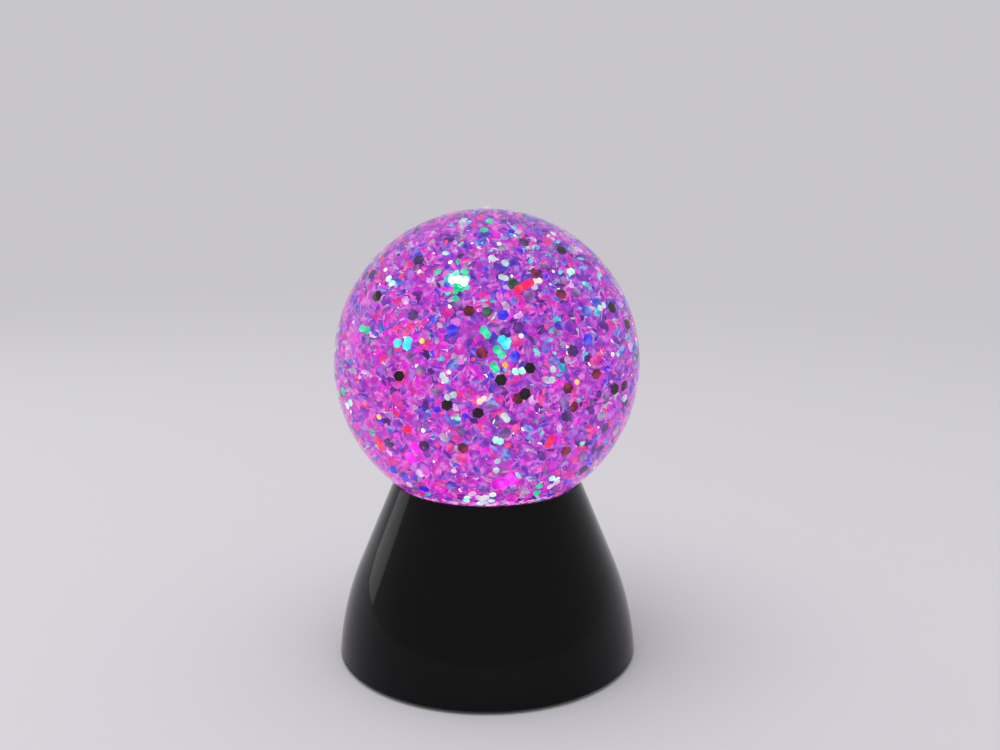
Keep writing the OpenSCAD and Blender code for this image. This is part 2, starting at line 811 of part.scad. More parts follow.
module magnet_carrier() {
    color("white") difference() {
        translate([0, 0, carrier_z]) cylinder(d = carrier_d, h = carrier_h);
        translate([0, 0, carrier_z - over])
            cylinder(r = shaft_r + seat_gap / 2, h = shaft_top - carrier_z + over + seat_gap);
        translate([0, 0, carrier_z + carrier_h - drive_magnet_h - seat_gap])
            around(carrier_magnet_ring, [0, 180])
                cylinder(r = drive_magnet_d / 2 + seat_gap, h = drive_magnet_h + over);
    }
}

module drive_magnets() {
    color("silver") translate([0, 0, carrier_z + carrier_h - drive_magnet_h])
        around(carrier_magnet_ring, [0, 180]) cylinder(d = drive_magnet_d, h = drive_magnet_h);
}

// Control board

module control_board() {
    color("darkgreen") difference() {
        translate([board_mid, 0, 0]) block(board_w, board_len, control_z, board_t);
        for (s = [-1, 1]) translate([board_mid, s * board_screw_y, control_z - over])
            cylinder(r = board_screw_r + fit_gap, h = board_t + 2 * over);
    }
}

module control_chip() {
    color([0.1, 0.1, 0.1]) translate([pad_in_x + chip[0] / 2 + chip_to_pads, 0, 0])
        block(chip[0], chip[1], control_top, chip[2]);
}

module board_capacitor() {
    color("navy") translate([board_mid, capacitor_y, control_top])
        cylinder(r = capacitor_r, h = capacitor_h);
}

module board_resistors() {
    color("tan") for (k = [-1:1]) translate([board_mid + k * resistor_pitch, resistor_y, 0])
        block(resistor[0], resistor[1], control_top, resistor[2]);
}

module board_screws() {
    color("silver") for (s = [-1, 1]) translate([board_mid, s * board_screw_y, control_top])
        rotate([180, 0, 0]) screw(board_screw_r, board_screw_len, board_head_r, board_head_h);
}

// Bottom cover, battery bay and feet

module bottom_cover() {
    color([0.06, 0.06, 0.065]) {
        difference() {
            union() {
                translate([0, 0, cover_z]) cylinder(r = cover_r, h = cover_t);
                block(2 * bay_out_x, 2 * bay_out_y, cover_z, roof_top - cover_z);
                for (s = [-1, 1]) {
                    translate([s * door_screw_x, 0, cover_z])
                        cylinder(r = boss_r, h = cover_t + door_boss_h);
                    translate([board_mid, s * board_screw_y, roof_z])
                        cylinder(r = post_r, h = roof_t + post_h);
                }
            }
            block(2 * bay_x, 2 * bay_y, cover_z - over, roof_z - cover_z + over);
            block(2 * door_x, 2 * door_y, cover_z - over, door_t + seat_gap + over);
            translate([0, 0, cover_z - over]) {
                around(foot_ring, foot_at) cylinder(d = foot_d + 2 * seat_gap, h = foot_pocket + over);
                around(cover_ring, cover_screw_at) {
                    cylinder(r = screw_r + fit_gap, h = cover_t + 2 * over);
                    cylinder(r = screw_head_r + fit_gap, h = screw_head_h + over);
                }
            }
            for (s = [-1, 1]) {
                translate([s * door_screw_x, 0, cover_z])
                    cylinder(r = screw_r + seat_gap, h = door_screw_len);
                translate([board_mid, s * board_screw_y, control_z - board_screw_len + board_t])
                    cylinder(r = board_screw_r + seat_gap, h = board_screw_len);
                translate([s * (bay_x - plate_t / 2), -s * tail_y, 0])
                    block(plate_t + 2 * seat_gap, tail_w + 2 * fit_gap, roof_z - over, roof_t + 2 * over);
            }
        }
        for (s = [-1, 1]) translate([0, s * cell_pitch / 2, 0])
            block(cell_len - 2 * cell_r, rib_t, roof_z - rib_h, rib_h + roof_t / 2);
    }
}

module cover_screws() {
    color("silver") translate([0, 0, cover_z + screw_head_h]) around(cover_ring, cover_screw_at)
        screw(screw_r, cover_screw_len - screw_head_h - seat_gap, screw_head_r, screw_head_h);
}

module rubber_feet() {
    color([0.12, 0.12, 0.12]) around(foot_ring, foot_at)
        cylinder(d = foot_d, h = cover_z + foot_pocket - seat_gap);
}

module battery_door() {
    color([0.06, 0.06, 0.065]) difference() {
        union() {
            block(2 * (door_x - fit_gap), 2 * (door_y - fit_gap), cover_z, door_t);
            block(2 * (bay_x - fit_gap), 2 * (bay_y - fit_gap), cover_z, cover_t);
        }
        for (s = [-1, 1]) translate([s * door_screw_x, 0, cover_z - over])
            cylinder(r = screw_r + seat_gap, h = door_t + 2 * over);
    }
}

module door_screws() {
    color("silver") for (s = [-1, 1]) translate([s * door_screw_x, 0, cover_z])
        screw(screw_r, door_screw_len - seat_gap, screw_head_r, door_head_h);
}

// Cells and contacts: the middle cell lies the other way round, so the three are in series

cell_rows = [-1, 0, 1];
function cell_way(row) = row == 0 ? -1 : 1;

// Turns its children so that +X is the way a row's button end points
module in_row(row) {
    translate([0, row * cell_pitch, cell_z]) rotate([0, 0, cell_way(row) > 0 ? 0 : 180]) children();
}

module battery_cells() {
    color("darkkhaki") for (row = cell_rows) in_row(row)
        translate([bay_x - plate_t - contact_gap - cell_len, 0, 0]) rotate([0, 90, 0]) {
            cylinder(r = cell_r, h = cell_len - nub_h);
            cylinder(r = nub_r, h = cell_len);
        }
}

spring_path = concat(
    [[0, spring_big_r, 0]],
    [for (k = [0:spring_steps])
        let (u = k / spring_steps, r = spring_big_r + (spring_small_r - spring_big_r) * u)
        [spring_wire + (spring_len - 2 * spring_wire) * u,
            r * cos(360 * spring_turns * u), r * sin(360 * spring_turns * u)]],
    [[spring_len, spring_small_r, 0]]);
spring_self_gap = min([for (i = [0:len(spring_path) - 1]) for (k = [i + 6:1:len(spring_path) - 1])
    norm(spring_path[i] - spring_path[k])]) - spring_wire;
echo(spring_self_gap = spring_self_gap);

module cell_springs() {
    color("silver") for (row = cell_rows) in_row(row)
        translate([plate_t - bay_x, 0, 0]) tube(spring_path, spring_wire / 2, 6);
}

// A contact plate against an end wall of the bay, as wide as the rows it spans
module contact_plate(side, row_from, row_to) {
    width = (row_to - row_from) * cell_pitch + plate_w;
    translate([side * (bay_x - plate_t / 2), (row_from + row_to) / 2 * cell_pitch, 0])
        block(plate_t, width, cell_z - plate_w / 2, plate_w);
}

// A plate whose tail comes up through the roof to be soldered
module tailed_plate(side) {
    row = -side;
    contact_plate(side, row, row);
    translate([side * (bay_x - plate_t / 2), row * tail_y, 0])
        block(plate_t, tail_w, cell_z, tail_top - cell_z);
}

module bridge_contacts() {
    color("silver") {
        contact_plate(-1, -1, 0);
        contact_plate(1, 0, 1);
    }
}

module positive_contact() {
    color("silver") tailed_plate(1);
}

module negative_contact() {
    color("silver") tailed_plate(-1);
}

// Slide switch

module switch_body() {
    color([0.1, 0.1, 0.1]) difference() {
        translate([-switch_w / 2, switch_y, switch_z - switch_h / 2])
            cube([switch_w, switch_depth, switch_h]);
        translate([-slot_w / 2, frame_y - stem_depth - fit_gap, switch_z - slot_h / 2])
            cube([slot_w, stem_depth + over, slot_h]);
    }
}

module switch_frame() {
    color("silver") difference() {
        translate([-frame_w / 2, frame_y, switch_z - switch_h / 2]) cube([frame_w, frame_t, switch_h]);
        translate([-slot_w / 2, frame_y - over, switch_z - slot_h / 2])
            cube([slot_w, frame_t + 2 * over, slot_h]);
        for (s = [-1, 1]) translate([s * switch_screw_x, frame_y, switch_z]) rotate([90, 0, 0])
            cylinder(r = switch_screw_r + seat_gap, h = 4 * frame_t, center = true);
    }
}

module switch_knob() {
    rib_n = 4;
    color([0.12, 0.12, 0.12]) translate([knob_at, 0, switch_z]) {
        translate([-stem_w / 2, frame_y - stem_depth, -stem_h / 2])
            cube([stem_w, pocket_y + fit_gap + knob_t / 4 - frame_y + stem_depth, stem_h]);
        translate([-knob_w / 2, pocket_y + fit_gap, -knob_h / 2]) cube([knob_w, knob_t / 2, knob_h]);
        for (k = [0:rib_n - 1]) translate([(k + 0.5) * knob_w / rib_n - knob_w / 2 - knob_rib_t / 2,
            pocket_y + fit_gap, -knob_h / 2]) cube([knob_rib_t, knob_t, knob_h]);
    }
}

module switch_tags() {
    color("goldenrod") for (s = [-1, 1]) translate([s * tag_x, tag_y, switch_z])
        translate([-tag_w / 2, 0, -tag_t / 2]) cube([tag_w, tag_len, tag_t]);
}

module switch_screws() {
    color("silver") for (s = [-1, 1]) translate([s * switch_screw_x, frame_y, switch_z])
        rotate([-90, 0, 0]) screw(switch_screw_r, pad_t - seat_gap, switch_head_r, switch_head_h);
}

// Wires inside the dome

module battery_positive_wire() {
    start = [bay_x - plate_t / 2, -tail_y, tail_top];
    end = [pad_out_x, capacitor_y - solder_step, control_top];
    color("red") wire([start, start + [0, 0, wire_stub], (start + end) / 2 + [0, 0, wire_bow],
        end + [0, 0, wire_foot], end]);
}

module battery_negative_wire() {
    start = [plate_t / 2 - bay_x, tail_y, tail_top];
    end = [pad_in_x, board_screw_y, control_top];
    side_y = max(cell_pitch, motor_r + wire_side);
    color([0.1, 0.1, 0.1]) wire([start, start + [0, 0, wire_stub],
        [-motor_r, side_y, tail_top + wire_bow], [0, side_y + wire_spread, tail_top + wire_bow],
        [board_x - wire_bow, side_y, control_top + wire_stub], end + [0, 0, wire_foot], end]);
}

module switch_wires() {
    color("orange") for (s = [-1, 1]) {
        start = [s * tag_x, tag_y, switch_z];
        end = [pad_out_x, resistor_y + solder_step * (1 - s), control_top];
        wire([start, start - [0, wire_foot, 0],
            start + [wire_side, bay_out_y + wire_to_bay - tag_y, switch_wire_rise],
            [board_mid + s * wire_side, bay_out_y - s * wire_spread, control_top + wire_bow],
            end + [0, wire_side, wire_bow + s * wire_spread], end + [0, 0, wire_foot], end]);
    }
}

module motor_wires() {
    color("gold") for (s = [-1, 1]) {
        start = [motor_r + terminal_out - wire_r - seat_gap, s * motor_screw_ring, can_z - end_cap_drop];
        end = [pad_in_x, s * motor_screw_ring, control_top];
        wire([start, start + [0, 0, wire_stub], (start + end) / 2 + [0, 0, wire_bow],
            end + [0, 0, wire_foot], end]);
    }
}

module led_wires() {
    color("deepskyblue") for (k = [-1.5:1:1.5]) {
        start = [led_wire_x, k * led_wire_pitch, control_top];
        end = [led_wire_x, k * led_wire_pitch, board_z];
        wire([start, start + [0, 0, wire_foot], (start + end) / 2 + [led_wire_bow, 0, 0],
            end - [0, 0, wire_stub], end]);
    }
}

ball_shell();
water_fill();
glitter_flakes();
neck_plug();
plug_seal();
impeller();
impeller_magnets();
impeller_pivot();
pivot_cap();
base_shell();
light_tray();
tray_screws();
led_board();
red_led();
green_led();
blue_led();
motor_can();
motor_magnets();
motor_rotor();
motor_shaft();
motor_end_cap();
motor_terminals();
motor_screws();
magnet_carrier();
drive_magnets();
control_board();
control_chip();
board_capacitor();
board_resistors();
board_screws();
bottom_cover();
cover_screws();
rubber_feet();
battery_door();
door_screws();
battery_cells();
cell_springs();
bridge_contacts();
positive_contact();
negative_contact();
switch_body();
switch_frame();
switch_knob();
switch_tags();
switch_screws();
battery_positive_wire();
battery_negative_wire();
switch_wires();
motor_wires();
led_wires();
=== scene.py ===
"""Looks of the glitter water ball lamp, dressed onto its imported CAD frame.

A clear moulded ball of water and foil flakes, lit from below, stands on a gloss black dome.
The lamp's sizes are millimetres in the CAD's own frame; meshes and the studio are in metres.
"""

import json
import logging
import math
import random
from dataclasses import dataclass, field
from enum import Enum
from typing import Any

import bmesh
import bpy
from mathutils import Matrix, Quaternion, Vector


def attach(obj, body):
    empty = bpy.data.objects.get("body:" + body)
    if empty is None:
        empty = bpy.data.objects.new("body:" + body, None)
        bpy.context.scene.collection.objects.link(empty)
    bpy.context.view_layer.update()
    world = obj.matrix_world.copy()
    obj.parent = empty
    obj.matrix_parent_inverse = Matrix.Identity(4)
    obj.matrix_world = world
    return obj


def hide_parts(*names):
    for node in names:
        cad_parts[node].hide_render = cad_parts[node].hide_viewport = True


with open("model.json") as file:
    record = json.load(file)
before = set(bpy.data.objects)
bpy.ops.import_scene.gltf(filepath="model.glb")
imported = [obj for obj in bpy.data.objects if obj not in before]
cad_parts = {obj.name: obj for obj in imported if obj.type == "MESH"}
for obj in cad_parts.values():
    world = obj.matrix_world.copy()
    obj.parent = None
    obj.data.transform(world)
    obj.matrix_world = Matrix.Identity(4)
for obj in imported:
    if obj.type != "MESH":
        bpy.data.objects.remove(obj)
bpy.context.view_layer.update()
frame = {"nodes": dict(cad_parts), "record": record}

MM = 0.001
LOG = logging.getLogger("water_ball_lamp")

# Where most of a noise texture's values lie
NOISE_LOW, NOISE_HIGH = 0.3, 0.7
SMOOTHEST = 0.02
# Corners nearer than this are one: in a turned profile, and in the CAD's mesh
WELD_MM, CAD_WELD_MM = 0.002, 0.01

Sockets = dict[str | int, Any]
Stops = tuple[tuple[float, str], ...]


def linear(code: str) -> tuple[float, float, float, float]:
    """Turns an sRGB hex colour into linear RGBA.

    Args:
        code: A colour such as "#9452C4".

    Returns:
        Red, green, blue and alpha for a colour socket.
    """
    parts = [int(code[i:i + 2], 16) / 255 for i in (1, 3, 5)]
    red, green, blue = [p / 12.92 if p <= 0.04045 else ((p + 0.055) / 1.055) ** 2.4 for p in parts]
    return red, green, blue, 1.0


def per_mm(size: float) -> float:
    """The texture scale that gives features of this many millimetres."""
    return 1 / (size * MM)


def add_node(tree: bpy.types.NodeTree, kind: str, sockets: Sockets | None = None,
             stops: Stops = (), **settings: Any) -> bpy.types.Node:
    """Adds a node, sets it up and links it.

    Args:
        tree: The node tree to add to.
        kind: The node's type, without its ShaderNode prefix.
        sockets: Values for its inputs by name or number; an output socket is linked instead.
        stops: For a colour ramp, the position and the hex colour of each stop.
        settings: Properties of the node itself.

    Returns:
        The new node.
    """
    node = tree.nodes.new("ShaderNode" + kind)
    for name, value in settings.items():
        setattr(node, name, value)
    for key, value in (sockets or {}).items():
        if isinstance(value, bpy.types.NodeSocket):
            tree.links.new(value, node.inputs[key])
        else:
            node.inputs[key].default_value = value
    for _ in stops[2:]:
        node.color_ramp.elements.new(0.5)
    for index, (position, code) in enumerate(stops):
        node.color_ramp.elements[index].position = position
        node.color_ramp.elements[index].color = linear(code)
    return node


def start_material(name: str) -> tuple[bpy.types.Material, bpy.types.NodeTree, bpy.types.NodeSocket]:
    """Begins an empty node material.

    Args:
        name: The material's name.

    Returns:
        The material, its node tree and the Object coordinates that its patterns read.
    """
    material = bpy.data.materials.new(name)
    material.use_nodes = True
    tree = material.node_tree
    tree.nodes.clear()
    return material, tree, add_node(tree, "TexCoord").outputs["Object"]


def end_material(tree: bpy.types.NodeTree, sockets: Sockets) -> None:
    """Closes a material with one Principled shader.

    Args:
        tree: The material's node tree.
        sockets: The shader's inputs.
    """
    shader = add_node(tree, "BsdfPrincipled", sockets)
    add_node(tree, "OutputMaterial", {"Surface": shader.outputs["BSDF"]})


@dataclass(frozen=True)
class MouldedPlastic:
    """Injection-moulded plastic: even colour, faint flow clouds and the texture of its mould."""

    name: str
    colour: str
    cloud: str
    roughness: float
    grain_mm: float
    grain_height_mm: float
    ior: float = 1.5
    smear: float = 0.05
    gloss: float = 0.5
    cloud_mm: float = 14.0
    smear_mm: float = 6.0

    def build(self) -> bpy.types.Material:
        """Makes the finish.

        Returns:
            The material.
        """
        material, tree, place = start_material(self.name)
        clouds = add_node(tree, "TexNoise", {"Vector": place, "Scale": per_mm(self.cloud_mm), "Detail": 3.0})
        colour = add_node(tree, "ValToRGB", {"Fac": clouds.outputs["Fac"]},
                          ((0.35, self.colour), (0.7, self.cloud)))
        handled = add_node(tree, "TexNoise", {"Vector": place, "Scale": per_mm(self.smear_mm), "Detail": 5.0})
        rough = add_node(tree, "MapRange", {
            "Value": handled.outputs["Fac"], "From Min": NOISE_LOW, "From Max": NOISE_HIGH,
            "To Min": max(SMOOTHEST, self.roughness - self.smear), "To Max": self.roughness + self.smear})
        grain = add_node(tree, "TexNoise", {"Vector": place, "Scale": per_mm(self.grain_mm), "Detail": 2.0})
        bump = add_node(tree, "Bump", {"Height": grain.outputs["Fac"], "Strength": 1.0,
                                       "Distance": self.grain_height_mm * MM})
        end_material(tree, {"Base Color": colour.outputs["Color"], "Roughness": rough.outputs["Result"],
                            "IOR": self.ior, "Specular IOR Level": self.gloss,
                            "Normal": bump.outputs["Normal"]})
        return material


@dataclass(frozen=True)
class ClearBody:
    """A clear, refracting body, either the moulded acrylic ball or the water in it."""

    name: str
    colour: str
    ior: float
    ripple_mm: float
    ripple_height_mm: float
    roughness: float = 0.0
    clear: float = 1.0

    def build(self) -> bpy.types.Material:
        """Makes the finish; a slow ripple in its surface bends what shows through it a little.

        Returns:
            The material.
        """
        material, tree, place = start_material(self.name)
        ripple = add_node(tree, "TexNoise", {"Vector": place, "Scale": per_mm(self.ripple_mm), "Detail": 1.0})
        bump = add_node(tree, "Bump", {"Height": ripple.outputs["Fac"], "Strength": 1.0,
                                       "Distance": self.ripple_height_mm * MM})
        end_material(tree, {"Base Color": linear(self.colour), "Roughness": self.roughness, "IOR": self.ior,
                            "Transmission Weight": self.clear, "Normal": bump.outputs["Normal"]})
        return material


@dataclass(frozen=True)
class Foil:
    """Metallised film flakes of one tint; the lamp light that they send back is painted on as an emission
    glow.
    """

    name: str
    tints: tuple[str, str, str]
    share: float = 0.0
    lean: tuple[float, float] = (0.0, 0.0)
    glow: float = 0.92
    scale: float = 1.0
    body: str = "#1C1024"
    drift_mm: float = 2.8
    stops: tuple[float, float, float] = (0.33, 0.5, 0.67)
    least: float = 0.1

    def weight(self, away: Vector) -> float:
        """How likely the tint is at a place, given from the ball's centre as a share of its radius."""
        return self.share * max(self.least, 1 + self.lean[0] * away.x + self.lean[1] * away.z)

    def build(self) -> bpy.types.Material:
        """Makes the finish; its painted light, an emission, drifts through three tints over a couple of
        millimetres.

        Returns:
            The material.
        """
        material, tree, place = start_material("foil_film_" + self.name)
        drift = add_node(tree, "TexNoise", {"Vector": place, "Scale": per_mm(self.drift_mm), "Detail": 1.5})
        light = add_node(tree, "ValToRGB", {"Fac": drift.outputs["Fac"]}, tuple(zip(self.stops, self.tints)))
        # Painted light: the emission stands in for the lamp light that the foil sends back
        end_material(tree, {"Base Color": linear(self.body), "Roughness": 0.45, "Specular IOR Level": 0.2,
                            "Emission Color": light.outputs["Color"], "Emission Strength": self.glow})
        return material


@dataclass(frozen=True)
class Metal:
    """Plated or bare metal with fine rolling lines and a little tarnish."""

    name: str
    colour: str
    tarnish: str
    roughness: float
    line_mm: float = 0.4
    line_height_mm: float = 0.02
    stretch: float = 0.08
    patch_mm: float = 5.0
    rough_spread: float = 0.3

    def build(self) -> bpy.types.Material:
        """Makes the finish; its lines are drawn coarser than real ones so that they show.

        Returns:
            The material.
        """
        material, tree, place = start_material(self.name)
        along = add_node(tree, "Mapping", {"Vector": place, "Scale": (self.stretch, 1.0, 1.0)})
        lines = add_node(tree, "TexNoise", {"Vector": along.outputs["Vector"], "Scale": per_mm(self.line_mm),
                                            "Detail": 3.0})
        patch = add_node(tree, "TexNoise", {"Vector": place, "Scale": per_mm(self.patch_mm), "Detail": 4.0})
        colour = add_node(tree, "ValToRGB", {"Fac": patch.outputs["Fac"]},
                          ((0.4, self.colour), (0.75, self.tarnish)))
        rough = add_node(tree, "MapRange", {"Value": lines.outputs["Fac"],
                                            "To Min": self.roughness * (1 - self.rough_spread),
                                            "To Max": self.roughness * (1 + self.rough_spread)})
        bump = add_node(tree, "Bump", {"Height": lines.outputs["Fac"], "Strength": 0.3,
                                       "Distance": self.line_height_mm * MM})
        end_material(tree, {"Base Color": colour.outputs["Color"], "Metallic": 1.0,
                            "Roughness": rough.outputs["Result"], "Normal": bump.outputs["Normal"]})
        return material


@dataclass(frozen=True)
class SolderMask:
    """A printed board: solder mask over copper tracks, which show as paler lines."""

    name: str = "solder_mask_green"
    mask: str = "#12562E"
    track: str = "#2F8A4C"
    track_mm: float = 1.6
    track_height_mm: float = 0.03

    def build(self) -> bpy.types.Material:
        """Makes the finish.

        Returns:
            The material.
        """
        material, tree, place = start_material(self.name)
        tracks = add_node(tree, "TexBrick", {
            "Vector": place, "Color1": linear(self.mask), "Color2": linear(self.mask),
            "Mortar": linear(self.track), "Scale": per_mm(self.track_mm) / 2, "Mortar Size": 0.09,
            "Mortar Smooth": 0.2, "Brick Width": 1.7, "Row Height": 0.6})
        relief = add_node(tree, "Bump", {"Height": tracks.outputs["Fac"], "Strength": 0.6,
                                         "Distance": self.track_height_mm * MM})
        end_material(tree, {"Base Color": tracks.outputs["Color"], "Roughness": 0.32, "IOR": 1.5,
                            "Normal": relief.outputs["Normal"]})
        return material


@dataclass(frozen=True)
class LedLens:
    """Tinted epoxy over a lit chip, whose glow is a little cloudy."""

    name: str
    tint: str
    core: str
    glow: float
    haze_mm: float = 2.2

    def build(self) -> bpy.types.Material:
        """Makes the finish.

        Returns:
            The material.
        """
        material, tree, place = start_material(self.name)
        haze = add_node(tree, "TexNoise", {"Vector": place, "Scale": per_mm(self.haze_mm), "Detail": 2.0})
        light = add_node(tree, "ValToRGB", {"Fac": haze.outputs["Fac"]},
                         ((0.35, self.tint), (0.75, self.core)))
        end_material(tree, {"Base Color": linear(self.tint), "Roughness": 0.12, "IOR": 1.54,
                            "Transmission Weight": 0.3, "Emission Color": light.outputs["Color"],
                            "Emission Strength": self.glow})
        return material


@dataclass(frozen=True)
class CellJacket:
    """Plain shrink film round a cell: cool grey, with a pale ring near its button end."""

    name: str = "shrink_cell_film_grey"
    body: str = "#5C656E"
    scuffed: str = "#6E7780"
    ring: str = "#C9CED2"
    ring_from_mm: float = 19.5
    ring_mm: float = 2.5
    pitch_mm: float = 15.0
    scuff_mm: float = 2.5

    def build(self) -> bpy.types.Material:
        """Makes the finish; the middle cell lies the other way round, so its ring does too.

        Returns:
            The material.
        """
        material, tree, place = start_material(self.name)
        axes = add_node(tree, "SeparateXYZ", {"Vector": place})
        aside = add_node(tree, "Math", {0: axes.outputs["Y"]}, operation="ABSOLUTE")
        middle = add_node(tree, "Math", {0: aside.outputs[0], 1: self.pitch_mm / 2 * MM},
                          operation="LESS_THAN")
        way = add_node(tree, "MapRange", {"Value": middle.outputs[0], "To Min": 1.0, "To Max": -1.0})
        along = add_node(tree, "Math", {0: axes.outputs["X"], 1: way.outputs["Result"]}, operation="MULTIPLY")
        ring = add_node(tree, "Math", {0: along.outputs[0], 1: (self.ring_from_mm + self.ring_mm / 2) * MM,
                                       2: self.ring_mm / 2 * MM}, operation="COMPARE")
        scuff = add_node(tree, "TexNoise", {"Vector": place, "Scale": per_mm(self.scuff_mm), "Detail": 4.0})
        film = add_node(tree, "Mix", {0: scuff.outputs["Fac"], 6: linear(self.body), 7: linear(self.scuffed)},
                        data_type="RGBA")
        colour = add_node(tree, "Mix", {0: ring.outputs[0], 6: film.outputs[2], 7: linear(self.ring)},
                          data_type="RGBA")
        rough = add_node(tree, "MapRange", {"Value": scuff.outputs["Fac"], "To Min": 0.22, "To Max": 0.45})
        end_material(tree, {"Base Color": colour.outputs[2], "Metallic": 0.35,
                            "Roughness": rough.outputs["Result"], "IOR": 1.5})
        return material


class FlakeLie(Enum):
    """How a flake lies in the water."""

    ADRIFT = "turned any way"
    FACING = "nearly square to a direction"


class BallFace(Enum):
    """Which of the ball's materials a face wears, by its number on the mesh."""

    OUTER = 0
    WETTED = 1
    GATE = 2


Finish = MouldedPlastic | Metal | SolderMask | LedLens | CellJacket

# Finishes for the record's material slots, apart from the ball's, the water's and the flakes'
SLOT_FINISHES: dict[str, Finish] = {
    # Polished ABS: deep black with a mirror gloss and faint smears
    "gloss_black": MouldedPlastic("polished_abs_black", "#020203", "#040405", 0.05, 9.0, 0.004,
                                  smear=0.03, gloss=0.15),
    # Spark-textured ABS: the dull underside
    "matte_black": MouldedPlastic("textured_abs_black", "#121214", "#1B1B1E", 0.55, 0.5, 0.03, smear=0.1),
    # Natural ABS: inner parts that nobody polishes
    "white_plastic": MouldedPlastic("moulded_abs_white", "#E4E2DC", "#D6D3CB", 0.42, 0.8, 0.015),
    # Moulded rubber: dull, under the feet and in the seal
    "black_rubber": MouldedPlastic("moulded_rubber_black", "#1A1A1B", "#262627", 0.8, 0.4, 0.04,
                                   ior=1.52, smear=0.1),
    # Zinc-plated steel: bright, with rolling lines
    "steel": Metal("zinc_plated_steel", "#B9BCC0", "#8E9296", 0.3),
    # Nickel plating over sintered magnets
    "nickel_magnet": Metal("nickel_plated_magnet", "#C9C6BE", "#A7A39A", 0.22),
    # Sintered ferrite: the motor's dull grey arcs
    "ferrite": MouldedPlastic("sintered_ferrite", "#2B2B2E", "#3A393B", 0.7, 0.4, 0.03),
    # Stacked iron sheets, browned with oil
    "rotor_iron": Metal("laminated_iron", "#7C7672", "#5C4A3E", 0.45, line_mm=0.35),
    # Printed board under green solder mask
    "green_board": SolderMask(),
    # Cast epoxy over the lit chips
    "red_lens": LedLens("epoxy_lens_red", "#D81628", "#FF8A80", 5.0),
    "green_lens": LedLens("epoxy_lens_green", "#1FB860", "#B8FFD8", 5.0),
    "blue_lens": LedLens("epoxy_lens_blue", "#2A30E0", "#9FB0FF", 5.0),
    # Moulded epoxy: the chip and the switch's case
    "chip_black": MouldedPlastic("moulded_epoxy_black", "#161617", "#222224", 0.6, 0.35, 0.02),
    # Shrink sleeve over an aluminium can
    "capacitor_sleeve": MouldedPlastic("shrink_sleeve_navy", "#182448", "#22325E", 0.35, 1.2, 0.01),
    # Fired ceramic under a coat of lacquer
    "resistor_body": MouldedPlastic("fired_ceramic_tan", "#B89A6C", "#A4855A", 0.5, 0.6, 0.02),
    # Shrink film round the cells
    "cell_jacket": CellJacket(),
    # Tinned brass: solder tags
    "tinned_brass": Metal("tinned_brass", "#C8BFA6", "#A8986E", 0.35),
    # Extruded PVC round the wires
    "red_wire": MouldedPlastic("pvc_insulation_red", "#B81C1C", "#C93030", 0.4, 1.0, 0.01),
    "black_wire": MouldedPlastic("pvc_insulation_black", "#161616", "#222222", 0.4, 1.0, 0.01),
    "orange_wire": MouldedPlastic("pvc_insulation_orange", "#D8701E", "#E08838", 0.4, 1.0, 0.01),
    "yellow_wire": MouldedPlastic("pvc_insulation_yellow", "#D8B020", "#E2C048", 0.4, 1.0, 0.01),
    "blue_wire": MouldedPlastic("pvc_insulation_blue", "#2878C8", "#4490D8", 0.4, 1.0, 0.01),
}

# Polished acrylic: clear, with the slow ripple of a moulded wall; its IOR is set nearer to the
# water's than acrylic's 1.49, because the photographed wall hardly shows
CLEAR_ACRYLIC = ClearBody("moulded_acrylic_clear", "#FFFFFF", 1.36, 30.0, 0.004)
# The cut gate: the same acrylic, frosted where it was trimmed
FROSTED_ACRYLIC = ClearBody("trimmed_acrylic_frosted", "#F0D8F4", 1.36, 0.8, 0.05, roughness=0.6, clear=0.2)
# The same wall where the water wets it: with the water behind it, its face can't be seen
WETTED_ACRYLIC = ClearBody("wetted_acrylic_clear", "#FFFFFF", 1.0, 30.0, 0.002)
# Water with a little glycerine, tinted very faintly violet to paint in some of the lamps' violet glow, and
# without a step from the wetted wall
CLEAR_WATER = ClearBody("violet_tinted_water_clear", "#F8EEFC", 1.0, 40.0, 0.002)

